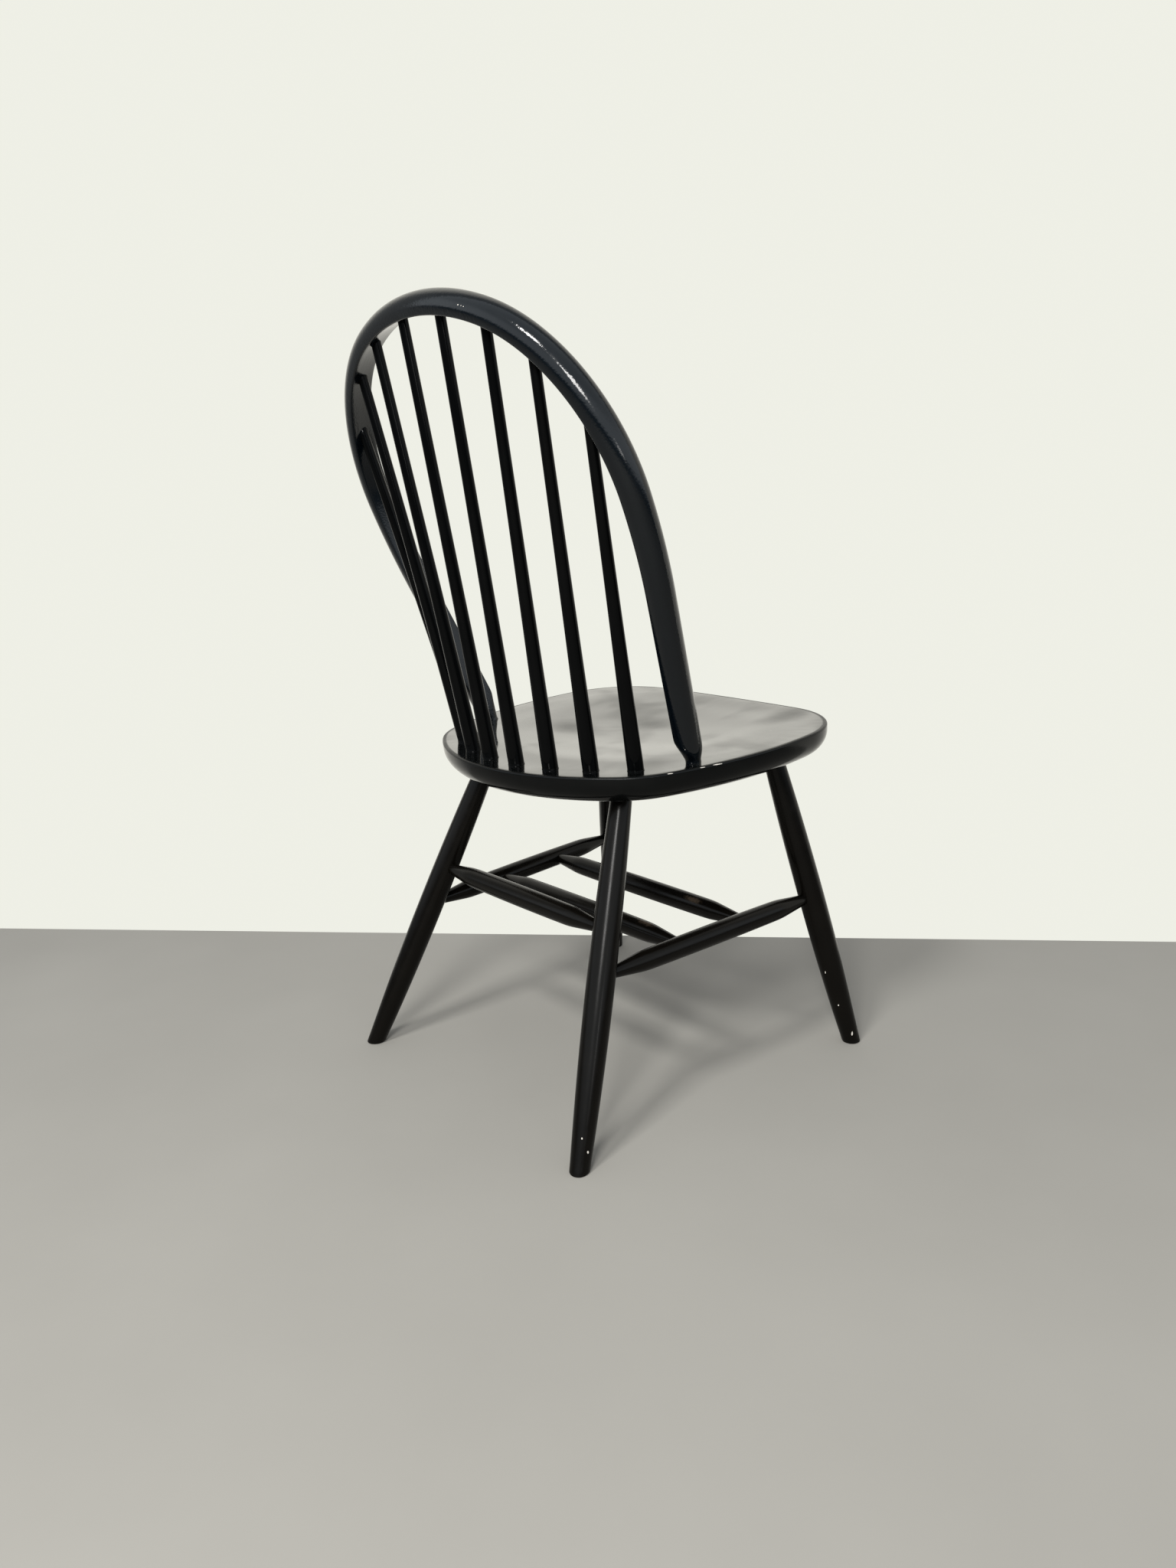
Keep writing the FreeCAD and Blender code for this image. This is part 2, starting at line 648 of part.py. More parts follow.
# Spindles, numbered from the middle of the back outwards on each side
bow_bores = []
for number in range(1, 5):
    for side_name, side in SIDES.items():
        name = f"spindle_{side_name}_{number}"
        across, behind = point_inside_edge(size("spindle_edge_inset"),
                                           (number - 0.5) * size("spindle_foot_pitch"))
        foot = seat_frame.multVec(Vector(side * across, behind, 0))
        top = point_on_bow(size(f"spindle_{number}_top_round"))
        top = bow_frame.multVec(Vector(side * top.x, 0, top.z))
        place, long = axis_from(foot, top), (top - foot).Length
        keep(name, turned(name, [
            ("line", "sizes.spindle_foot_dia / 2", "-sizes.spindle_foot_deep"),
            ("line", "sizes.spindle_foot_dia / 2", "sizes.spindle_foot_straight"),
            ("line", "sizes.spindle_middle_dia / 2", f"{long / 2}"),
            ("line", "sizes.spindle_top_dia / 2", f"{long} - sizes.spindle_top_dia"),
            ("line", "sizes.spindle_top_dia / 2", f"{long} + sizes.spindle_top_deep")], place))
        seat_bores.append(bore(f"seat_socket_{name}", place,
                               -size("spindle_foot_deep") - size("socket_spare"),
                               size("seat_thick"), "sizes.spindle_foot_dia"))
        bow_bores.append(bore(f"bow_socket_{name}", place, long - size("bow_thick"),
                              long + size("spindle_top_deep") + size("socket_spare"),
                              "sizes.spindle_top_dia"))

# The bow, and the wedges that are driven into its tenons from under the seat
under_seat = slab("under_seat", seat_frame, -size("seat_thick"))
for side_name, side in SIDES.items():
    axis = tenon_axis(side)
    down = (axis.Rotation.multVec(UP)).dot(seat_frame.Rotation.multVec(UP))
    thick_end = lifted(axis, -size("seat_thick") / down - size("bow_tenon_dia") / 2)
    wedge_run = "(sizes.bow_wedge_long + sizes.bow_tenon_dia / 2)"
    bow_bores.append(whittling(f"bow_end_{side_name}", axis))
    bow_bores.append(wedge_solid(f"bow_slot_{side_name}", thick_end, wedge_run,
                                 "sizes.bow_tenon_dia", "sizes.glue_gap"))
    whole = wedge_solid(f"bow_wedge_{side_name}_whole", thick_end, wedge_run,
                        wedge_breadth("sizes.bow_tenon_dia"), "0")
    name = f"bow_wedge_{side_name}"
    keep(name, piece_cut(name, whole, [slab(f"{name}_trim", seat_frame, -size("seat_thick"))]))
    seat_bores.append(bore(f"seat_socket_bow_{side_name}", axis, -tenon_run, size("seat_thick"),
                           "sizes.bow_tenon_dia"))
keep("bow", piece_cut("bow", bow_blank(), bow_bores + [under_seat]))
keep("seat", piece_cut("seat", seat_blank(), [dish()] + seat_bores))

doc.recompute()
for item in doc.Objects:
    if "Invalid" in item.State or "Error" in item.State:
        raise RuntimeError(f"{item.Name} did not build: {item.State}")
os.makedirs("parts", exist_ok=True)
for piece in nodes:
    shape = piece.Shape
    if shape.isNull() or not shape.isValid() or len(shape.Solids) != 1:
        raise RuntimeError(f"{piece.Label} is not one sound solid")
for piece in nodes:
    piece.Shape.exportStep(f"parts/{piece.Label}.step")
    print(f"{piece.Label}: {piece.Shape.Volume / 1000:.1f} cm3")
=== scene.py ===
import math

import bpy
import numpy as np
from mathutils import Matrix, Vector, noise


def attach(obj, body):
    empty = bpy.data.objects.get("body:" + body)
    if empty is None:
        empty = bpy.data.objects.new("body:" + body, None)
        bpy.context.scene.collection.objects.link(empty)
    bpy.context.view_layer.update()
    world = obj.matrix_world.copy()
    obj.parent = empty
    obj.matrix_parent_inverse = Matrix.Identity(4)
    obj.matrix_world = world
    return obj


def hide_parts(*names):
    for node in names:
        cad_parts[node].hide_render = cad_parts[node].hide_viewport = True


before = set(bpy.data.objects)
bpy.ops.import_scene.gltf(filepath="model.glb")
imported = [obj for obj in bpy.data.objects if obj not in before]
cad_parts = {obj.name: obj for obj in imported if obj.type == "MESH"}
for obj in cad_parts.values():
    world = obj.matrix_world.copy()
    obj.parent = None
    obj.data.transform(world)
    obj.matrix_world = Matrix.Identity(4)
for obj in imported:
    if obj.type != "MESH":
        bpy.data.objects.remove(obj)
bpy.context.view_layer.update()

# The seat: a board 33 mm thick, sawn to a rounded shield, hollowed a little for the sitter and
# rounded off all round underneath. It slopes down towards the back. Beech under black gloss
# lacquer, which has a few chips along its edge and a soft haze on top from use.
SEAT_TOP_HEIGHT = 0.409
BOW_LINE_BEHIND = 0.0233
SEAT_SLOPE = math.radians(2.9)
SEAT_THICK = 0.033
SEAT_UNDER_ROUND = 0.026
SEAT_TOP_ROUND = 0.0025
SEAT_SANDED = 0.0001
SEAT_SETTLE = 0.012
SEAT_UNEVEN = 0.00022
SEAT_WAVE_FROM, SEAT_WAVE_LONG = 0.004, 0.075
SEAT_WAVE_REACH, SEAT_WAVE_HIGH = 0.085, 0.00035
SEAT_MIDDLE = (0.0, -0.055)
SEAT_HOLLOW_PLACE = (0.0, -0.09)
SEAT_HOLLOW_REACH = (0.203, 0.172)
SEAT_HOLLOW_DEEP = 0.008
# front, corner, side, shoulder and back of the left half: radius, centre, first and last angle
SEAT_ARCS = [
    (2.5, (0.0, 2.238), -1.5708, -1.5221),
    (0.11, (0.11634, -0.14917), -1.5221, -0.14296),
    (0.42, (-0.1905, -0.105), -0.14296, 0.37125),
    (0.11, (0.09838, 0.00746), 0.37125, 0.93198),
    (0.275, (0.0, -0.125), 0.93198, 1.5708),
]
seat_across = np.array((1.0, 0.0, 0.0))
seat_back = np.array((0.0, math.cos(SEAT_SLOPE), -math.sin(SEAT_SLOPE)))
seat_up = np.array((0.0, math.sin(SEAT_SLOPE), math.cos(SEAT_SLOPE)))
seat_origin = np.array((0.0, BOW_LINE_BEHIND, SEAT_TOP_HEIGHT))


def on_seat(flat):
    """Points drawn on the seat's own slope, as points of the chair."""
    return (seat_origin + flat[..., :1] * seat_across + flat[..., 1:2] * seat_back
            + flat[..., 2:] * seat_up)


def seat_outline(columns):
    """Points and outward directions round the seat's edge, evenly spaced, from its front."""
    lengths = [radius * (end - start) for radius, _, start, end in SEAT_ARCS]
    stations = (np.arange(columns // 2) + 0.5) / (columns // 2) * sum(lengths)
    left = []
    for station in stations:
        for (radius, centre, start, end), length in zip(SEAT_ARCS, lengths):
            if station <= length:
                break
            station -= length
        angle = start + station / radius
        outward = (math.cos(angle), math.sin(angle))
        left.append((centre[0] + radius * outward[0], centre[1] + radius * outward[1], *outward))
    left = np.array(left)
    right = left[::-1] * (-1, 1, -1, 1)
    both = np.vstack((left, right))
    return both[:, :2], both[:, 2:]


def soft_noise(points, scale, seed):
    """A smooth random height between about -1 and 1 for each point."""
    flat = points.reshape(-1, 3) * scale + seed
    return np.array([noise.noise(Vector(p)) for p in flat]).reshape(points.shape[:-1]) * 1.6


def skin(name, rings, lay, wear, material, slot, *nodes):
    """A closed piece stretched over rings of points, each ring joined to the next.

    lay holds, for each point, where it lies along and across the wood, for the grain, and
    wear says how much each point is rubbed in use.
    """
    count, around = rings.shape[:2]
    points = rings.reshape(-1, 3)
    points = np.vstack((points, rings[0].mean(0), rings[-1].mean(0)))
    faces = []
    for row in range(count - 1):
        for column in range(around):
            beside = (column + 1) % around
            faces.append((row * around + column, row * around + beside,
                          (row + 1) * around + beside, (row + 1) * around + column))
    top = (count - 1) * around
    for column in range(around):
        beside = (column + 1) % around
        faces.append((count * around, beside, column))
        faces.append((count * around + 1, top + column, top + beside))
    mesh = bpy.data.meshes.new(name)
    mesh.from_pydata(points.tolist(), [], faces)
    mesh.update()
    lay = lay.reshape(-1, 3)
    lay = np.vstack((lay, lay[:around].mean(0), lay[-around:].mean(0)))
    wear = np.append(wear.reshape(-1), (0.0, 0.0))
    mesh.attributes.new("lay", "FLOAT_VECTOR", "POINT").data.foreach_set(
        "vector", lay.astype(np.float32).ravel())
    mesh.attributes.new("wear", "FLOAT", "POINT").data.foreach_set(
        "value", wear.astype(np.float32))
    for polygon in mesh.polygons:
        polygon.use_smooth = True
    mesh.materials.append(material)
    piece = bpy.data.objects.new(name, mesh)
    bpy.context.scene.collection.objects.link(piece)
    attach(piece, "root")
    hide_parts(*nodes)
    return piece


def node(tree, kind, inputs=None, **settings):
    """One shader node, with its settings, and its inputs given as values or as links."""
    made = tree.nodes.new("ShaderNode" + kind)
    for key, value in settings.items():
        setattr(made, key, value)
    for key, value in (inputs or {}).items():
        if isinstance(value, bpy.types.NodeSocket):
            tree.links.new(value, made.inputs[key])
        else:
            made.inputs[key].default_value = value
    return made


def sum_of(tree, kind, one, other, clamp=False):
    """The result of one sum on two numbers or links."""
    return node(tree, "Math", {0: one, 1: other}, operation=kind, use_clamp=clamp).outputs[0]


def new_group(name, inputs, outputs):
    """An empty shader group with named inputs and outputs, and its two end nodes."""
    tree = bpy.data.node_groups.new(name, "ShaderNodeTree")
    kinds = {"value": "NodeSocketFloat", "vector": "NodeSocketVector", "colour": "NodeSocketColor"}
    for label, kind in inputs.items():
        tree.interface.new_socket(label, in_out="INPUT", socket_type=kinds[kind])
    for label, kind in outputs.items():
        tree.interface.new_socket(label, in_out="OUTPUT", socket_type=kinds[kind])
    return tree, tree.nodes.new("NodeGroupInput").outputs, tree.nodes.new("NodeGroupOutput")


def make_ripple_group():
    """The lacquer's surface: long sags, the grain that shows through, and a fine orange peel."""
    tree, given, result = new_group(
        "lacquer_ripple",
        {"Lay": "vector", "Sag Height": "value", "Grain Height": "value", "Peel Height": "value"},
        {"Height": "value"})
    sag_place = node(tree, "Mapping", {"Vector": given["Lay"], "Scale": (90, 90, 28)})
    sag = node(tree, "TexNoise", {"Vector": sag_place.outputs[0], "Scale": 1.0, "Detail": 1.0})
    grain_place = node(tree, "Mapping", {"Vector": given["Lay"], "Scale": (520, 520, 34)})
    grain = node(tree, "TexNoise", {"Vector": grain_place.outputs[0], "Scale": 1.0, "Detail": 2.0})
    peel = node(tree, "TexNoise", {"Vector": given["Lay"], "Scale": 420.0, "Detail": 1.0})
    total = 0.0
    for part, height in ((sag, "Sag Height"), (grain, "Grain Height"), (peel, "Peel Height")):
        total = sum_of(tree, "ADD", sum_of(tree, "MULTIPLY", part.outputs[0], given[height]), total)
    tree.links.new(total, result.inputs["Height"])
    return tree


def make_smudge_group():
    """Where hands and cloths have dulled the gloss, in soft patches and in fine wiping marks."""
    tree, given, result = new_group(
        "dulled_gloss", {"Lay": "vector", "Size": "value", "Amount": "value"}, {"Dull": "value"})
    clouds = node(tree, "TexNoise", {"Vector": given["Lay"], "Scale": given["Size"],
                                     "Detail": 4.0, "Roughness": 0.62, "Distortion": 0.6})
    spread = node(tree, "MapRange", {"Value": clouds.outputs[0], "From Min": 0.42,
                                     "From Max": 0.7})
    wipe_place = node(tree, "Mapping", {"Vector": given["Lay"], "Rotation": (0.2, 0.35, 0.5),
                                        "Scale": (60, 900, 60)})
    wipes = node(tree, "TexNoise", {"Vector": wipe_place.outputs[0], "Scale": 1.0, "Detail": 1.0})
    lines = node(tree, "MapRange", {"Value": wipes.outputs[0], "From Min": 0.6, "From Max": 0.75})
    both = sum_of(tree, "ADD", spread.outputs[0], sum_of(tree, "MULTIPLY", lines.outputs[0], 0.4))
    dull = sum_of(tree, "MULTIPLY", both, given["Amount"], clamp=True)
    tree.links.new(dull, result.inputs["Dull"])
    return tree


def make_patch_group():
    """One marked place, such as a chip or a smear, with a torn or a soft edge."""
    tree, given, result = new_group(
        "marked_place", {"Place": "vector", "Reach": "vector", "Ragged": "value",
                         "Tear Size": "value", "Softness": "value"}, {"Cover": "value"})
    where = node(tree, "TexCoord").outputs["Object"]
    rough = node(tree, "TexNoise", {"Vector": where, "Scale": given["Tear Size"], "Detail": 3.0})
    away = node(tree, "VectorMath", {0: where, 1: given["Place"]}, operation="SUBTRACT")
    shares = node(tree, "VectorMath", {0: away.outputs[0], 1: given["Reach"]}, operation="DIVIDE")
    length = node(tree, "VectorMath", {0: shares.outputs[0]}, operation="LENGTH").outputs["Value"]
    torn = sum_of(tree, "SUBTRACT", rough.outputs[0], 0.5)
    torn = sum_of(tree, "MULTIPLY", torn, given["Ragged"])
    edge = node(tree, "MapRange", {"Value": sum_of(tree, "ADD", length, torn), "From Min": 1.0,
                                   "From Max": sum_of(tree, "SUBTRACT", 1.0, given["Softness"])},
                interpolation_type="SMOOTHSTEP")
    tree.links.new(edge.outputs[0], result.inputs["Cover"])
    return tree


def make_rub_group():
    """Edges rubbed grey or through by use, from the wear painted on each piece."""
    tree, given, result = new_group(
        "rubbed_edges", {"Lay": "vector", "Size": "value", "Worn Share": "value"},
        {"Rub": "value", "Wear": "value"})
    wear = node(tree, "Attribute", attribute_name="wear").outputs["Fac"]
    broken = node(tree, "TexNoise", {"Vector": given["Lay"], "Scale": given["Size"],
                                     "Detail": 5.0, "Roughness": 0.7})
    level = sum_of(tree, "SUBTRACT", 1.0, given["Worn Share"])
    reach = sum_of(tree, "MULTIPLY", wear, broken.outputs[0])
    rub = node(tree, "MapRange", {"Value": reach, "From Min": level,
                                  "From Max": sum_of(tree, "ADD", level, 0.06)})
    tree.links.new(rub.outputs[0], result.inputs["Rub"])
    tree.links.new(wear, result.inputs["Wear"])
    return tree


ripple_group = make_ripple_group()
smudge_group = make_smudge_group()
patch_group = make_patch_group()
rub_group = make_rub_group()
PRIMER_WHITE = (0.78, 0.75, 0.69, 1)
UNDERCOAT_GREY = (0.16, 0.155, 0.145, 1)
RUBBED_BROWN = (0.055, 0.042, 0.030, 1)


def patches(tree, places, tear_size, softness):
    """The cover of all the marked places together. Each has its middle, reach and raggedness."""
    cover = 0.0
    for place, reach, ragged in places:
        patch = node(tree, "Group", node_tree=patch_group)
        for label, value in (("Place", place), ("Reach", reach), ("Ragged", ragged),
                             ("Tear Size", tear_size), ("Softness", softness)):
            patch.inputs[label].default_value = value
        cover = sum_of(tree, "MAXIMUM", patch.outputs["Cover"], cover)
    return cover


def black_lacquer(name, black, cast, gloss, dulling, ripple, worn_share, mirror=0.5, polish=0.0,
                  chips=(), smears=(), rubs=()):
    """Black gloss lacquer over wood, with its own colour cast, gloss, ripple, wear and chips.

    polish is how much of a second, waxed layer lies on what faces up, with smears in it, and
    rubs are the places that feet have rubbed thin and brown.
    """
    material = bpy.data.materials.new(name)
    material.use_nodes = True
    tree = material.node_tree
    tree.nodes.clear()
    lay = node(tree, "Attribute", attribute_name="lay").outputs["Vector"]

    surface = node(tree, "Group", node_tree=ripple_group)
    tree.links.new(lay, surface.inputs["Lay"])
    for label, height in zip(("Sag Height", "Grain Height", "Peel Height"), ripple):
        surface.inputs[label].default_value = height
    dull = node(tree, "Group", node_tree=smudge_group)
    tree.links.new(lay, dull.inputs["Lay"])
    dull.inputs["Size"].default_value, dull.inputs["Amount"].default_value = dulling
    rub = node(tree, "Group", node_tree=rub_group)
    tree.links.new(lay, rub.inputs["Lay"])
    rub.inputs["Size"].default_value = 300.0
    rub.inputs["Worn Share"].default_value = worn_share

    bare = patches(tree, chips, tear_size=260.0, softness=0.14)
    coat = 0.0
    if polish:
        facing = node(tree, "SeparateXYZ", {0: node(tree, "NewGeometry").outputs["Normal"]})
        level = node(tree, "MapRange", {"Value": facing.outputs["Z"], "From Min": 0.9,
                                        "From Max": 0.985, "To Max": polish})
        haze = node(tree, "TexNoise", {"Vector": lay, "Scale": 11.0, "Detail": 2.0,
                                       "Distortion": 0.4})
        share = node(tree, "MapRange", {"Value": haze.outputs[0], "From Min": 0.36,
                                        "From Max": 0.58, "To Min": 0.6, "To Max": 1.0},
                     interpolation_type="SMOOTHSTEP")
        smeared = sum_of(tree, "MULTIPLY", patches(tree, smears, tear_size=24.0, softness=0.9), 0.7)
        kept = sum_of(tree, "MULTIPLY", sum_of(tree, "SUBTRACT", 1.0, smeared), share.outputs[0])
        kept = sum_of(tree, "MULTIPLY", sum_of(tree, "SUBTRACT", 1.0, rub.outputs["Wear"]), kept)
        kept = sum_of(tree, "MULTIPLY", sum_of(tree, "SUBTRACT", 1.0, bare), kept)
        coat = sum_of(tree, "MULTIPLY", level.outputs[0], kept)

    cloud = node(tree, "TexNoise", {"Vector": lay, "Scale": 35.0, "Detail": 3.0})
    colour = node(tree, "Mix", {"Factor": cloud.outputs[0], "A": black, "B": cast},
                  data_type="RGBA")
    colour = node(tree, "Mix", {"Factor": rub.outputs["Rub"], "A": colour.outputs["Result"],
                                "B": UNDERCOAT_GREY}, data_type="RGBA")
    if rubs:
        thin = patches(tree, rubs, tear_size=300.0, softness=0.8)
        colour = node(tree, "Mix", {"Factor": thin, "A": colour.outputs["Result"],
                                    "B": RUBBED_BROWN}, data_type="RGBA")
    colour = node(tree, "Mix", {"Factor": bare, "A": colour.outputs["Result"], "B": PRIMER_WHITE},
                  data_type="RGBA")
    rough = sum_of(tree, "ADD", sum_of(tree, "MULTIPLY", dull.outputs["Dull"], 0.1), gloss)
    rough = sum_of(tree, "ADD", sum_of(tree, "MULTIPLY", rub.outputs["Wear"], 0.16), rough)
    rough = sum_of(tree, "ADD", sum_of(tree, "MULTIPLY", bare, 0.45), rough, clamp=True)
    sunk = sum_of(tree, "MULTIPLY", bare, -0.00012)
    bump = node(tree, "Bump", {"Height": sum_of(tree, "ADD", surface.outputs["Height"], sunk),
                               "Distance": 1.0, "Strength": 1.0})
    paint = node(tree, "BsdfPrincipled", {
        "Base Color": colour.outputs["Result"], "Roughness": rough, "Normal": bump.outputs[0],
        "IOR": 1.5, "Specular IOR Level": mirror, "Coat Roughness": 0.05, "Coat IOR": 1.7,
        "Coat Weight": coat})
    end = node(tree, "OutputMaterial")
    tree.links.new(paint.outputs[0], end.inputs["Surface"])
    return material


seat_lacquer = black_lacquer(
    "seat_lacquer", black=(0.0015, 0.0018, 0.002, 1), cast=(0.004, 0.0045, 0.0045, 1),
    gloss=0.1, dulling=(22.0, 0.9), ripple=(0.00004, 0.000004, 0.000002), worn_share=0.2,
    mirror=0.13, polish=1.0, chips=(
        ((-0.2010, 0.0695, 0.4057), (0.0030, 0.0038, 0.00035), 0.8),
        ((-0.2132, 0.0325, 0.4076), (0.0030, 0.0034, 0.00035), 0.8),
        ((-0.2178, 0.0145, 0.4084), (0.0035, 0.0065, 0.00045), 1.0),
        ((-0.1694, -0.1294, 0.4167), (0.0014, 0.0005, 0.0010), 0.9)), smears=(
        ((-0.137, -0.200, 0.417), (0.036, 0.075, 0.05), 0.5),
        ((0.004, -0.096, 0.409), (0.055, 0.045, 0.05), 0.5),
        ((0.078, -0.025, 0.407), (0.055, 0.042, 0.05), 0.5)))

SEAT_COLUMNS = 320
edge, outward = seat_outline(SEAT_COLUMNS)
middle = np.array(SEAT_MIDDLE)


def seat_ring(inset, height, share=1.0):
    """One ring of the seat, inside its edge by a distance and then drawn in to its middle."""
    flat = middle + (edge - outward * (inset + SEAT_SANDED) - middle) * share
    return np.concatenate((flat, np.full((SEAT_COLUMNS, 1), height)), axis=1)


rings, worn = [], []
for share in (0.03, 0.2, 0.4, 0.6, 0.8, 0.9, 0.96, 1.0):
    rings.append(seat_ring(SEAT_UNDER_ROUND, -SEAT_THICK, share))
for turn in np.linspace(0, math.pi / 2, 13)[1:]:
    rings.append(seat_ring(SEAT_UNDER_ROUND * (1 - math.sin(turn)),
                           -SEAT_THICK + SEAT_UNDER_ROUND * (1 - math.cos(turn))))
for turn in np.linspace(0, math.pi / 2, 8):
    rings.append(seat_ring(SEAT_TOP_ROUND * (1 - math.cos(turn)),
                           SEAT_TOP_ROUND * (math.sin(turn) - 1)))
rim_rings = len(rings)
for share in 1 - np.linspace(0, 1, 72)[1:] ** 1.15 * 0.985:
    rings.append(seat_ring(SEAT_TOP_ROUND, 0.0, share))
seat_rings = np.array(rings)

# its top: a soft hollow, a low wave that follows the edge, and the slight unevenness of sanding
top = seat_rings[rim_rings:]
inwards = np.sqrt(((top[:, :, None, :2] - edge[None, None, ::4]) ** 2).sum(-1)).min(-1)
inwards = np.maximum(inwards - SEAT_TOP_ROUND, 0)
hollow = (1 - ((top[..., 0] - SEAT_HOLLOW_PLACE[0]) / SEAT_HOLLOW_REACH[0]) ** 2
          - ((top[..., 1] - SEAT_HOLLOW_PLACE[1]) / SEAT_HOLLOW_REACH[1]) ** 2)
wave = (np.cos(2 * math.pi * (inwards - SEAT_WAVE_FROM) / SEAT_WAVE_LONG)
        * np.exp(-(inwards / SEAT_WAVE_REACH) ** 2))
settle = np.clip(inwards / SEAT_SETTLE, 0, 1) ** 2
top[..., 2] -= SEAT_HOLLOW_DEEP * np.clip(hollow, 0, 1) ** 1.5
top[..., 2] += settle * (SEAT_WAVE_HIGH * (wave - 1)
                         + SEAT_UNEVEN * soft_noise(top, scale=16.0, seed=3.0))
seat_wear = np.zeros(seat_rings.shape[:2])
seat_wear[rim_rings - 6:rim_rings + 1] = 1.0
seat_lay = seat_rings[..., (2, 0, 1)] + (0.3, 0.1, 0.2)
skin("seat_board", on_seat(seat_rings), seat_lay, seat_wear, seat_lacquer, "seat_lacquer", "seat")

# The legs: turned from beech, thickest in the middle, with a blind wedge in each top that spreads
# it inside the seat. The feet stand flat on the floor, with a rounded rim, and are knocked bare in
# spots.
LEG_FOOT_RADIUS = 0.0115
LEG_BELLY_RADIUS = 0.016
LEG_TOP_RADIUS = 0.012
LEG_TENON = 0.019
LEG_FOOT_ROUND = 0.0022
LEG_FOOT_STRAIGHT = 0.0115
LEG_FOOT_WORN = 0.0003
LEG_WEAR_HIGH = 0.0025
LEG_LINES = {
    "front": ((0.229, -0.2167, 0.0), (0.153, -0.14865, 0.38467)),
    "rear": ((0.2115, 0.2273, 0.0), (0.1273, 0.07406, 0.37339)),
}
SIDES = {"left": 1, "right": -1}
AROUND = 48
FOOT_SWING = 0.045


def bulge(at, start, end, thick, thin):
    """The radius on an arc that is thick at its start, where it runs with the axis, and thins."""
    run, drop = abs(end - start), thick - thin
    sweep = (drop ** 2 + run ** 2) / (2 * drop)
    return thick - (sweep - math.sqrt(sweep ** 2 - (at - start) ** 2))


def turned(name, start, end, profile, seed, foot, material, slot, node_name, wear=None):
    """A turned piece between two points. profile lists distance along and radius.

    foot is the direction square to what the piece stands on: its first rings lie flat on
    that, and then swing until they are square to the piece.
    """
    start, end = np.array(start), np.array(end)
    along = (end - start) / np.linalg.norm(end - start)
    aside = np.cross(along, (0.0, 1.0, 0.0) if abs(along[1]) < 0.9 else (1.0, 0.0, 0.0))
    aside /= np.linalg.norm(aside)
    across = np.cross(along, aside)
    angles = np.linspace(0, 2 * math.pi, AROUND, endpoint=False)
    spokes = np.outer(np.cos(angles), aside) + np.outer(np.sin(angles), across)
    rings, lay, worn = [], [], []
    for number, (distance, radius) in enumerate(profile):
        flat = max(0.0, 1 - max(distance, 0.0) / FOOT_SWING)
        flat = flat * flat * (3 - 2 * flat)
        shift = -radius * (spokes @ foot) / (along @ foot) * flat
        rings.append(start + along * distance + spokes * radius + shift[:, None] * along)
        flat_lay = np.stack((np.cos(angles) * radius, np.sin(angles) * radius,
                             np.full(AROUND, distance)), axis=1)
        lay.append(flat_lay + (seed * 0.37, seed * 0.23, seed * 0.71))
        worn.append(np.full(AROUND, wear(distance) if wear else 0.0))
    return skin(name, np.array(rings), np.array(lay), np.array(worn), material, slot, node_name)


leg_lacquer = black_lacquer(
    "leg_lacquer", black=(0.002, 0.0016, 0.0012, 1), cast=(0.0045, 0.0038, 0.0028, 1),
    gloss=0.2, dulling=(30.0, 0.8), ripple=(0.00006, 0.000006, 0.000002), worn_share=0.3,
    mirror=0.12, chips=(
        ((-0.2118, 0.2222, 0.0380), (0.0008, 0.0008, 0.0014), 1.1),
        ((-0.2184, 0.2201, 0.0236), (0.0010, 0.0010, 0.0015), 1.1),
        ((-0.2152, 0.2262, 0.0292), (0.0006, 0.0006, 0.0009), 1.0),
        ((-0.2116, -0.1842, 0.0998), (0.0007, 0.0007, 0.0018), 1.0),
        ((-0.2244, -0.1950, 0.0552), (0.0009, 0.0009, 0.0014), 1.1),
        ((-0.2364, -0.2086, 0.0152), (0.0011, 0.0011, 0.0034), 1.3)),
    rubs=(
        ((-0.1015, -0.0607, 0.2026), (0.0180, 0.0070, 0.0040), 1.0),
        ((-0.1166, 0.0320, 0.2024), (0.0190, 0.0070, 0.0040), 1.0)))

bare_wood = bpy.data.materials.new("bare_wood")
bare_wood.use_nodes = True
tree = bare_wood.node_tree
where = node(tree, "TexCoord").outputs["Object"]
fibre_place = node(tree, "Mapping", {"Vector": where, "Scale": (900, 900, 60)})
fibre = node(tree, "TexNoise", {"Vector": fibre_place.outputs[0], "Scale": 1.0, "Detail": 4.0})
fibre_colour = node(tree, "Mix", {"Factor": fibre.outputs[0], "A": (0.30, 0.18, 0.09, 1),
                                  "B": (0.55, 0.38, 0.22, 1)}, data_type="RGBA")
fibre_bump = node(tree, "Bump", {"Height": fibre.outputs[0], "Distance": 0.0002})
fibre_rough = node(tree, "MapRange", {"Value": fibre.outputs[0], "To Min": 0.6, "To Max": 0.85})
wood_paint = tree.nodes["Principled BSDF"]
tree.links.new(fibre_colour.outputs["Result"], wood_paint.inputs["Base Color"])
tree.links.new(fibre_rough.outputs[0], wood_paint.inputs["Roughness"])
tree.links.new(fibre_bump.outputs[0], wood_paint.inputs["Normal"])

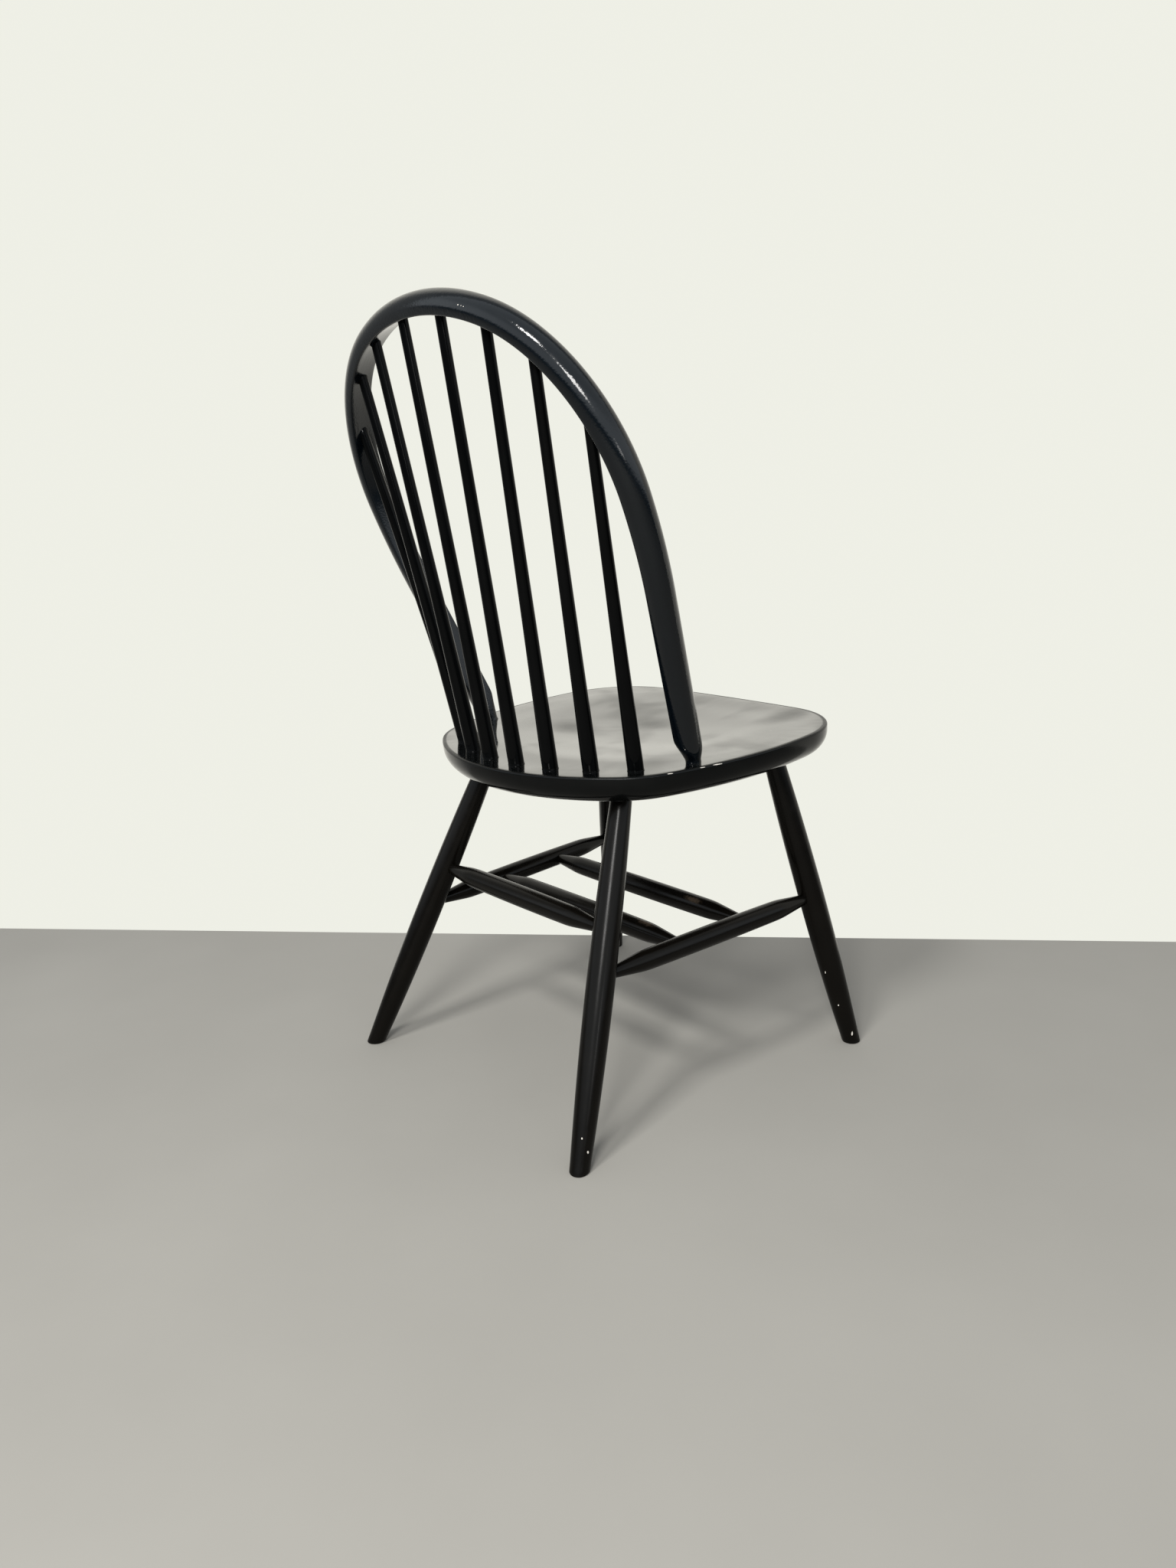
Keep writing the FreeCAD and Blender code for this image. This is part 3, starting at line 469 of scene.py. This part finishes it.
seed = 1
for end_name, (foot_point, entry) in LEG_LINES.items():
    length = math.dist(foot_point, entry)
    belly = length / 2
    leg_profile = []
    for turn in np.linspace(0, math.pi / 2, 7):
        leg_profile.append((LEG_FOOT_ROUND * (1 - math.cos(turn)), LEG_FOOT_RADIUS
                            - LEG_FOOT_WORN - LEG_FOOT_ROUND * (1 - math.sin(turn))))
    for distance in np.linspace(0.004, LEG_FOOT_STRAIGHT, 4):
        share = 1 - distance / LEG_FOOT_STRAIGHT
        leg_profile.append((distance, LEG_FOOT_RADIUS - LEG_FOOT_WORN * share))
    for distance in np.linspace(LEG_FOOT_STRAIGHT, belly, 42)[1:]:
        leg_profile.append((distance, bulge(distance, belly, LEG_FOOT_STRAIGHT,
                                            LEG_BELLY_RADIUS, LEG_FOOT_RADIUS)))
    for distance in np.linspace(belly, length, 42)[1:]:
        leg_profile.append((distance, bulge(distance, belly, length, LEG_BELLY_RADIUS,
                                            LEG_TOP_RADIUS)))
    leg_profile.append((length + LEG_TENON, LEG_TOP_RADIUS))
    for side_name, side in SIDES.items():
        mirror = np.array((side, 1, 1))
        name = f"leg_{end_name}_{side_name}"
        turned(f"turned_{name}", np.array(foot_point) * mirror, np.array(entry) * mirror,
               leg_profile, seed, np.array((0.0, 0.0, 1.0)), leg_lacquer, "leg_lacquer", name,
               wear=lambda distance: 1.0 if distance < LEG_WEAR_HIGH else 0.0)
        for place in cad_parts[f"leg_wedge_{end_name}_{side_name}"].material_slots:
            place.material = bare_wood
        seed += 1

# The stretchers: a turned rail on each side between the legs, two cross rails bored into these,
# and a higher rail between the rear legs. Each narrows to a round tenon that is glued in.
STRETCHER_RADIUS = 0.0127
STRETCHER_SHOULDER_RADIUS = 0.012
STRETCHER_TENON_RADIUS = 0.0065
STRETCHER_TENON_PAST = 0.004
STRETCHER_CONE = 0.045
STRETCHER_LET_IN = 0.001
STRETCHER_LINES = {
    "side_stretcher_left": ((0.16933, 0.15056, 0.187), (0.19018, -0.18194, 0.1965)),
    "side_stretcher_right": ((-0.16933, 0.15056, 0.187), (-0.19018, -0.18194, 0.1965)),
    "cross_stretcher_rear": ((0.17681, 0.0312, 0.19041), (-0.17681, 0.0312, 0.19041)),
    "cross_stretcher_front": ((0.18307, -0.06857, 0.19326), (-0.18307, -0.06857, 0.19326)),
    "rear_stretcher": ((0.15884, 0.13147, 0.2335), (-0.15884, 0.13147, 0.2335)),
}
for name, (one_end, other_end) in STRETCHER_LINES.items():
    length = math.dist(one_end, other_end)
    bored = STRETCHER_RADIUS if name.startswith("cross") else LEG_BELLY_RADIUS
    cone = bored - STRETCHER_LET_IN
    shoulder = cone + STRETCHER_CONE
    half = []
    for distance in np.linspace(cone, shoulder, 14):
        share = (distance - cone) / STRETCHER_CONE
        half.append((distance, STRETCHER_TENON_RADIUS
                     + (STRETCHER_SHOULDER_RADIUS - STRETCHER_TENON_RADIUS) * share))
    for distance in np.linspace(shoulder, length / 2, 24)[1:]:
        half.append((distance, bulge(distance, length / 2, shoulder, STRETCHER_RADIUS,
                                     STRETCHER_SHOULDER_RADIUS)))
    reaches, radii = np.array(half).T
    softened = np.convolve(np.pad(radii, 2, mode="edge"), np.ones(5) / 5, mode="valid")
    softened[:2] = radii[:2]
    half = list(zip(reaches, softened))
    stretcher_profile = ([(-STRETCHER_TENON_PAST, STRETCHER_TENON_RADIUS)] + half
                         + [(length - distance, radius) for distance, radius in half[-2::-1]]
                         + [(length + STRETCHER_TENON_PAST, STRETCHER_TENON_RADIUS)])
    straight = np.array(other_end) - np.array(one_end)
    turned(f"turned_{name}", one_end, other_end, stretcher_profile, seed,
           straight / np.linalg.norm(straight), leg_lacquer, "leg_lacquer", name)
    seed += 1

# The spindles: slim beech rods, thickest at the foot, that lean back from the seat to the bow.
# Each is glued in a blind hole at either end, and the lacquer has drawn a bead round its foot.
SPINDLE_FOOT_RADIUS = 0.0092
SPINDLE_MIDDLE_RADIUS = 0.0069
SPINDLE_TOP_RADIUS = 0.0056
SPINDLE_BEAD = 0.0004
SPINDLE_BEAD_HIGH = 0.0026
SPINDLE_STRAIGHT = 0.014
SPINDLE_FOOT_TENON = 0.019
SPINDLE_HEAD_TENON = 0.015
SPINDLE_LINES = [
    ((0.02521, 0.14335, 0.40292), (0.03451, 0.21346, 0.88204)),
    ((0.07456, 0.13311, 0.40344), (0.10193, 0.20699, 0.86595)),
    ((0.1208, 0.11305, 0.40445), (0.15784, 0.19441, 0.83465)),
    ((0.16096, 0.0829, 0.40598), (0.2064, 0.17114, 0.77675)),
]
spindle_lacquer = black_lacquer(
    "spindle_lacquer", black=(0.0012, 0.0014, 0.0016, 1), cast=(0.003, 0.0032, 0.0034, 1),
    gloss=0.1, dulling=(40.0, 0.15), ripple=(0.00001, 0.000001, 0.0000005), worn_share=0.2,
    mirror=0.06, chips=(((0.1172, 0.1288, 0.4560), (0.0012, 0.0012, 0.0018), 1.2),))
for number, (foot_point, head) in enumerate(SPINDLE_LINES, start=1):
    length = math.dist(foot_point, head)
    spindle_profile = [(-SPINDLE_FOOT_TENON, SPINDLE_FOOT_RADIUS)]
    for distance in np.linspace(0.0, SPINDLE_BEAD_HIGH, 9):
        bead = SPINDLE_BEAD * (1 - distance / SPINDLE_BEAD_HIGH) ** 3
        spindle_profile.append((distance, SPINDLE_FOOT_RADIUS + bead))
    spindle_profile.append((0.008, SPINDLE_FOOT_RADIUS))
    for distance in np.linspace(SPINDLE_STRAIGHT, length, 60):
        share = (distance - SPINDLE_STRAIGHT) / (length - SPINDLE_STRAIGHT)
        taper = (SPINDLE_FOOT_RADIUS * (1 - share) * (1 - 2 * share)
                 + SPINDLE_MIDDLE_RADIUS * 4 * share * (1 - share)
                 + SPINDLE_TOP_RADIUS * share * (2 * share - 1))
        spindle_profile.append((distance, taper))
    spindle_profile.append((length + SPINDLE_HEAD_TENON, SPINDLE_TOP_RADIUS))
    for side_name, side in SIDES.items():
        mirror = np.array((side, 1, 1))
        name = f"spindle_{side_name}_{number}"
        turned(f"turned_{name}", np.array(foot_point) * mirror, np.array(head) * mirror,
               spindle_profile, seed, seat_up, spindle_lacquer, "spindle_lacquer", name)
        seed += 1

# The bow: one ash lath bent into a hoop, flat inside and rounded outside. Its ends are whittled
# to round tenons that go right through the seat, where a wedge from below spreads each of them.
BOW_TILT = math.radians(21.9)
BOW_LEAN = math.radians(10.4)
BOW_DEEP = 0.031
BOW_THICK = 0.02145
BOW_INNER_ROUND = 0.002
BOW_OUTER_ROUND = 0.015
BOW_TENON_RADIUS = 0.00875
BOW_TENON_INSET = 0.010
BOW_CONE_RADIUS = 0.0205
BOW_NECK = 0.005
BOW_CONE = 0.042
BOW_TENON_DEEP = 0.0335
BOW_FINE_RINGS = 0.062
BOW_WHITTLED_BELOW = 0.09
BOW_FOOT_SWING = 0.03
BOW_BLEND = 1400.0
BOW_RING_STEP = 0.0045
BOW_WEAR_REACH = 0.003
BOW_WEAR_FROM = 0.011
# crown, shoulder and side of its inner face: radius, centre, first and last angle from upright
BOW_ARCS = [
    (0.276, (0.0, 0.236), 0.0, 0.38094),
    (0.198, (0.029, 0.30841), 0.38094, math.pi / 2),
    (0.57, (-0.343, 0.30841), math.pi / 2, math.pi / 2 + BOW_LEAN),
]
bow_deep_way = np.array((0.0, math.cos(BOW_TILT), -math.sin(BOW_TILT)))
bow_up = np.array((0.0, math.sin(BOW_TILT), math.cos(BOW_TILT)))


def on_bow(across, up):
    """Points of the bow's own leaning plane, as points of the chair."""
    across, up = np.asarray(across)[..., None], np.asarray(up)[..., None]
    return seat_origin + across * seat_across + up * bow_up


stations = []
travelled = 0.0
for radius, centre, start, end in BOW_ARCS:
    steps = max(2, round(radius * (end - start) / BOW_RING_STEP))
    for angle in np.linspace(start, end, steps + 1)[:-1]:
        stations.append((centre[0] + radius * math.sin(angle),
                         centre[1] + radius * math.cos(angle), angle,
                         travelled + radius * (angle - start)))
    travelled += radius * (end - start)
side_radius, side_centre = BOW_ARCS[2][:2]
side_top = (side_centre[0] + side_radius * math.cos(BOW_LEAN),
            side_centre[1] - side_radius * math.sin(BOW_LEAN))
lean_angle = math.pi / 2 + BOW_LEAN
straight_long = side_top[1] / math.cos(BOW_LEAN)
for height in np.concatenate((np.linspace(straight_long, BOW_FINE_RINGS, 30)[:-1],
                              np.linspace(BOW_FINE_RINGS, 0.0, 50)[:-1],
                              (0.0, -BOW_TENON_DEEP))):
    down = straight_long - height
    stations.append((side_top[0] - down * math.sin(BOW_LEAN),
                     side_top[1] - down * math.cos(BOW_LEAN), lean_angle, travelled + down))
stations = np.array(stations)

# its section: each corner's distance out, distance along its depth, radius, first angle and steps
inner_corner, outer_corner = BOW_DEEP / 2 - BOW_INNER_ROUND, BOW_DEEP / 2 - BOW_OUTER_ROUND
corners = [(BOW_INNER_ROUND, -inner_corner, BOW_INNER_ROUND, math.pi, 4),
           (BOW_THICK - BOW_OUTER_ROUND, -outer_corner, BOW_OUTER_ROUND, -math.pi / 2, 12),
           (BOW_THICK - BOW_OUTER_ROUND, outer_corner, BOW_OUTER_ROUND, 0.0, 12),
           (BOW_INNER_ROUND, inner_corner, BOW_INNER_ROUND, math.pi / 2, 4)]
section = []
for out, deep, radius, first, steps in corners:
    for angle in np.linspace(first, first + math.pi / 2, steps + 1):
        section.append((out + radius * math.cos(angle), deep + radius * math.sin(angle)))
for deep in np.linspace(inner_corner, -inner_corner, 10)[1:-1]:
    section.append((0.0, deep))
section = np.array(section)
from_tenon = section - (BOW_TENON_INSET, 0.0)
reach = np.linalg.norm(from_tenon, axis=1)

left_rings, left_lay, left_wear = [], [], []
for across, up, angle, distance in stations:
    height = up / math.cos(BOW_LEAN) if angle >= lean_angle - 1e-6 else 1.0
    share = np.clip((height - BOW_NECK) / (BOW_CONE - BOW_NECK), 0, 3)
    whittled = BOW_TENON_RADIUS + (BOW_CONE_RADIUS - BOW_TENON_RADIUS) * share ** 1.1
    if 0.0 <= height < SPINDLE_BEAD_HIGH:
        whittled += SPINDLE_BEAD * max(0.0, 1 - height / SPINDLE_BEAD_HIGH) ** 3
    kept = reach
    if height < BOW_WHITTLED_BELOW:
        kept = -np.log(np.exp(-BOW_BLEND * reach) + np.exp(-BOW_BLEND * whittled)) / BOW_BLEND
    points = np.array((BOW_TENON_INSET, 0.0)) + from_tenon * (kept / reach)[:, None]
    outward_way = math.sin(angle) * seat_across + math.cos(angle) * bow_up
    run_way = -math.cos(angle) * seat_across + math.sin(angle) * bow_up
    spokes = points[:, :1] * outward_way + points[:, 1:] * bow_deep_way
    flat = max(0.0, 1 - max(height, 0.0) / BOW_FOOT_SWING)
    flat = flat * flat * (3 - 2 * flat)
    shift = np.zeros(len(points))
    if flat > 0:
        from_axis = spokes - BOW_TENON_INSET * outward_way
        shift = -(from_axis @ seat_up) / (run_way @ seat_up) * flat
    left_rings.append(on_bow(across, up) + spokes + shift[:, None] * run_way)
    left_lay.append(np.stack((points[:, 0], points[:, 1], np.full(len(points), distance)), axis=1))
    left_wear.append(np.exp(-(points[:, 0] / BOW_WEAR_REACH) ** 2)
                     * (np.abs(points[:, 1]) > BOW_WEAR_FROM))
left_rings, left_lay, left_wear = np.array(left_rings), np.array(left_lay), np.array(left_wear)
bow_rings = np.concatenate((left_rings[:0:-1], left_rings * (-1, 1, 1)))
bow_lay = np.concatenate((left_lay[:0:-1] * (1, 1, -1), left_lay)) + (0.5, 0.9, 1.7)
bow_wear = np.concatenate((left_wear[:0:-1], left_wear))
bow_lacquer = black_lacquer(
    "bow_lacquer", black=(0.0012, 0.0026, 0.0042, 1), cast=(0.0024, 0.0042, 0.0064, 1),
    gloss=0.1, dulling=(45.0, 0.8), ripple=(0.00016, 0.00003, 0.00011), worn_share=0.3,
    mirror=0.33,
    chips=(
        ((-0.1991, 0.0450, 0.4270), (0.0004, 0.0003, 0.0022), 0.4),
        ((-0.0869, 0.2270, 0.8797), (0.0009, 0.0008, 0.0006), 1.2),
        ((-0.0912, 0.2266, 0.8785), (0.0006, 0.0006, 0.0005), 1.2),
        ((-0.0945, 0.2260, 0.8772), (0.0007, 0.0006, 0.0005), 1.2)))
skin("bent_bow", bow_rings, bow_lay, bow_wear, bow_lacquer, "bow_lacquer", "bow")

# The bow's wedges: thin slips of beech driven into the sawn ends of the tenons from under the
# seat and cut off level, which leaves their end grain bare.
for side_name in SIDES:
    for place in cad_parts[f"bow_wedge_{side_name}"].material_slots:
        place.material = bare_wood

# The room: a pale plain floor, and the pale wall that the chair stands in front of, which only
# shows from the chair's side. A dome that only the lacquer mirrors stands for the rest of the room,
# dim near the floor, bright at the height of its windows and softer above.
FLOOR_REACH = 9.0
floor_paint = bpy.data.materials.new("floor_paint")
floor_paint.use_nodes = True
floor_tree = floor_paint.node_tree
floor_surface = floor_tree.nodes["Principled BSDF"]
floor_where = node(floor_tree, "TexCoord").outputs["Object"]
mottle = node(floor_tree, "TexNoise", {"Vector": floor_where, "Scale": 3.0, "Detail": 6.0})
floor_colour = node(floor_tree, "Mix", {"Factor": mottle.outputs[0], "A": (0.38, 0.37, 0.34, 1),
                                        "B": (0.45, 0.44, 0.405, 1)}, data_type="RGBA")
floor_tree.links.new(floor_colour.outputs["Result"], floor_surface.inputs["Base Color"])
floor_surface.inputs["Roughness"].default_value = 0.8
floor_surface.inputs["Specular IOR Level"].default_value = 0.2
floor_mesh = bpy.data.meshes.new("floor")
floor_mesh.from_pydata([(x * FLOOR_REACH, y * FLOOR_REACH, 0)
                        for x, y in ((-1, -1), (1, -1), (1, 1), (-1, 1))], [], [(0, 1, 2, 3)])
floor_mesh.materials.append(floor_paint)
floor = bpy.data.objects.new("floor", floor_mesh)

WALL_FOOT = ((0.9942, 0.4982), (-0.3996, -0.7669))
WALL_GAP = 0.355
WALL_REACH, WALL_HIGH = 8.0, 5.0
CHAIR_TO_WALL = (0.77, -0.64)
wall_along = np.array((WALL_FOOT[1][0] - WALL_FOOT[0][0], WALL_FOOT[1][1] - WALL_FOOT[0][1]))
wall_along /= np.linalg.norm(wall_along)
wall_away = np.array((-wall_along[1], wall_along[0]))
wall_away *= np.sign(wall_away @ CHAIR_TO_WALL)
wall_foot = wall_away * WALL_GAP
wall_paint = bpy.data.materials.new("wall_paint")
wall_paint.use_nodes = True
wall_tree = wall_paint.node_tree
wall_tree.nodes.clear()
wall_height = node(wall_tree, "SeparateXYZ", {0: node(wall_tree, "TexCoord").outputs["Object"]})
# Painted shade: for every ray but the camera's, the wall glows brighter than white and is shaded
# darker above 1.6 m and towards its far side, which the lacquer mirrors.
shade = node(wall_tree, "MapRange", {"Value": wall_height.outputs["Z"], "From Min": 1.6,
                                     "From Max": 2.5}, interpolation_type="SMOOTHSTEP")
to_camera = node(wall_tree, "LightPath").outputs["Is Camera Ray"]
far_along = node(wall_tree, "VectorMath", {
    0: node(wall_tree, "TexCoord").outputs["Object"], 1: (*(-wall_along), 0.0)},
    operation="DOT_PRODUCT")
far_shade = node(wall_tree, "MapRange", {"Value": far_along.outputs["Value"], "From Min": 0.45,
                                         "From Max": 1.3, "To Max": 0.9},
                 interpolation_type="SMOOTHSTEP")
shade = sum_of(wall_tree, "MAXIMUM", shade.outputs[0], far_shade.outputs[0])
shade = sum_of(wall_tree, "MULTIPLY", shade, sum_of(wall_tree, "SUBTRACT", 1.0, to_camera))
wall_colour = node(wall_tree, "Mix", {"Factor": to_camera, "A": (1.03, 1.01, 0.92, 1),
                                      "B": (0.86, 0.865, 0.79, 1)}, data_type="RGBA")
wall_colour = node(wall_tree, "Mix", {"Factor": shade, "A": wall_colour.outputs["Result"],
                                      "B": (0.32, 0.33, 0.33, 1)}, data_type="RGBA")
glow = node(wall_tree, "Emission", {"Color": wall_colour.outputs["Result"], "Strength": 1.0})
clear = node(wall_tree, "BsdfTransparent")
behind = node(wall_tree, "NewGeometry").outputs["Backfacing"]
wall_mix = node(wall_tree, "MixShader", {0: behind, 1: glow.outputs[0], 2: clear.outputs[0]})
node(wall_tree, "OutputMaterial", {"Surface": wall_mix.outputs[0]})
ends = [wall_foot - wall_along * WALL_REACH, wall_foot + wall_along * WALL_REACH]
wall_mesh = bpy.data.meshes.new("wall")
wall_mesh.from_pydata([(*ends[0], 0), (*ends[1], 0), (*ends[1], WALL_HIGH),
                       (*ends[0], WALL_HIGH)], [], [(0, 1, 2, 3)])
wall_mesh.update()
if Vector(wall_mesh.polygons[0].normal).dot(Vector((*wall_away, 0))) > 0:
    wall_mesh.flip_normals()
wall_mesh.materials.append(wall_paint)
wall_paint.cycles.emission_sampling = "NONE"
wall = bpy.data.objects.new("wall", wall_mesh)
wall.visible_diffuse = False
wall.visible_shadow = False

dome_paint = bpy.data.materials.new("room_dome")
dome_paint.use_nodes = True
dome_tree = dome_paint.node_tree
dome_tree.nodes.clear()
dome_height = node(dome_tree, "SeparateXYZ", {0: node(dome_tree, "TexCoord").outputs["Object"]})
fade = node(dome_tree, "MapRange", {"Value": dome_height.outputs["Z"], "From Min": 0.35,
                                     "From Max": 1.2}, interpolation_type="SMOOTHSTEP")
dome_colour = node(dome_tree, "Mix", {"Factor": fade.outputs[0], "A": (0.10, 0.12, 0.14, 1),
                                        "B": (1.32, 1.42, 1.50, 1)}, data_type="RGBA")
fade = node(dome_tree, "MapRange", {"Value": dome_height.outputs["Z"], "From Min": 2.2,
                                     "From Max": 3.6}, interpolation_type="SMOOTHSTEP")
dome_colour = node(dome_tree, "Mix", {"Factor": fade.outputs[0],
                                      "A": dome_colour.outputs["Result"],
                                      "B": (0.90, 0.97, 1.02, 1)}, data_type="RGBA")
dome_glow = node(dome_tree, "Emission", {"Color": dome_colour.outputs["Result"]})
node(dome_tree, "OutputMaterial", {"Surface": dome_glow.outputs[0]})
dome_points, dome_faces = [], []
DOME_STEPS, DOME_RISES, DOME_REACH = 32, 12, 5.0
for rise in np.linspace(0, math.pi / 2, DOME_RISES + 1):
    for turn in np.linspace(-math.pi / 2, math.pi / 2, DOME_STEPS + 1):
        flat = (-wall_away * math.cos(turn) + wall_along * math.sin(turn)) * DOME_REACH
        dome_points.append((*(wall_foot + flat * math.cos(rise)), DOME_REACH * math.sin(rise)))
for row in range(DOME_RISES):
    for column in range(DOME_STEPS):
        corner = row * (DOME_STEPS + 1) + column
        dome_faces.append((corner, corner + 1, corner + DOME_STEPS + 2, corner + DOME_STEPS + 1))
dome_mesh = bpy.data.meshes.new("room_dome")
dome_mesh.from_pydata(dome_points, [], dome_faces)
dome_mesh.materials.append(dome_paint)
dome_paint.cycles.emission_sampling = "NONE"
dome = bpy.data.objects.new("room_dome", dome_mesh)
dome.visible_camera = False
dome.visible_diffuse = False
dome.visible_shadow = False
for staged in (floor, wall, dome):
    bpy.context.scene.collection.objects.link(staged)

# The light: even pale daylight from all round, two lamps high up behind the photographer that draw
# the broken white streaks along the bow, and a weak one low down at the chair's right.
world = bpy.data.worlds.new("room_light")
bpy.context.scene.world = world
world.use_nodes = True
world_tree = world.node_tree
world_tree.nodes.clear()
path = node(world_tree, "LightPath").outputs
direct = sum_of(world_tree, "MAXIMUM", path["Is Camera Ray"], path["Is Glossy Ray"])
direct = sum_of(world_tree, "MAXIMUM", direct, path["Is Transmission Ray"])
soft = node(world_tree, "Background", {"Color": (0.97, 0.985, 1.0, 1), "Strength": 0.4})
pale = node(world_tree, "Background", {"Color": (0.86, 0.865, 0.82, 1), "Strength": 1.0})
shown = node(world_tree, "MixShader", {0: direct, 1: soft.outputs[0], 2: pale.outputs[0]})
node(world_tree, "OutputWorld", {"Surface": shown.outputs[0]})

LAMPS_AIMED_AT = (-0.1, 0.1, 0.7)
LAMPS = {
    "ceiling_lamp_near": ((-0.48, 1.87, 2.56), (0.52, 0.34), 36.0),
    "ceiling_lamp_far": ((-1.81, 2.38, 2.09), (0.80, 0.80), 64.0),
    "side_window": ((-3.6, 1.25, 0.95), (0.6, 0.35), 4.0),
}
for name, (place, breadth, watts) in LAMPS.items():
    lamp = bpy.data.lights.new(name, "AREA")
    lamp.shape = "RECTANGLE"
    lamp.size, lamp.size_y = breadth
    lamp.energy = watts
    lamp.color = (1.0, 0.985, 0.96)
    holder = bpy.data.objects.new(name, lamp)
    holder.location = place
    aim = Vector(LAMPS_AIMED_AT) - Vector(place)
    holder.rotation_euler = aim.to_track_quat("-Z", "Y").to_euler()
    bpy.context.scene.collection.objects.link(holder)

# The camera: it stands behind the chair's right shoulder, a little above the seat, as the
# photograph was taken.
CAMERA_PLACE = (-1.06631, 0.90634, 0.70786)
CAMERA_AHEAD = Vector((0.743644, -0.620151, -0.249812))
CAMERA_UP = Vector((0.165411, -0.191375, 0.967479))
CAMERA_REACH = 1511.72
PHOTO_HEIGHT = 2048
camera = bpy.data.cameras.new("photo_camera")
camera.sensor_fit = "AUTO"
camera.sensor_width = 36.0
camera.lens = CAMERA_REACH / PHOTO_HEIGHT * camera.sensor_width
camera.clip_start = 0.02
holder = bpy.data.objects.new("photo_camera", camera)
right = CAMERA_AHEAD.cross(CAMERA_UP)
holder.matrix_world = Matrix((
    (right.x, CAMERA_UP.x, -CAMERA_AHEAD.x, CAMERA_PLACE[0]),
    (right.y, CAMERA_UP.y, -CAMERA_AHEAD.y, CAMERA_PLACE[1]),
    (right.z, CAMERA_UP.z, -CAMERA_AHEAD.z, CAMERA_PLACE[2]),
    (0, 0, 0, 1)))
bpy.context.scene.collection.objects.link(holder)
bpy.context.scene.camera = holder
bpy.context.scene.view_settings.view_transform = "Standard"
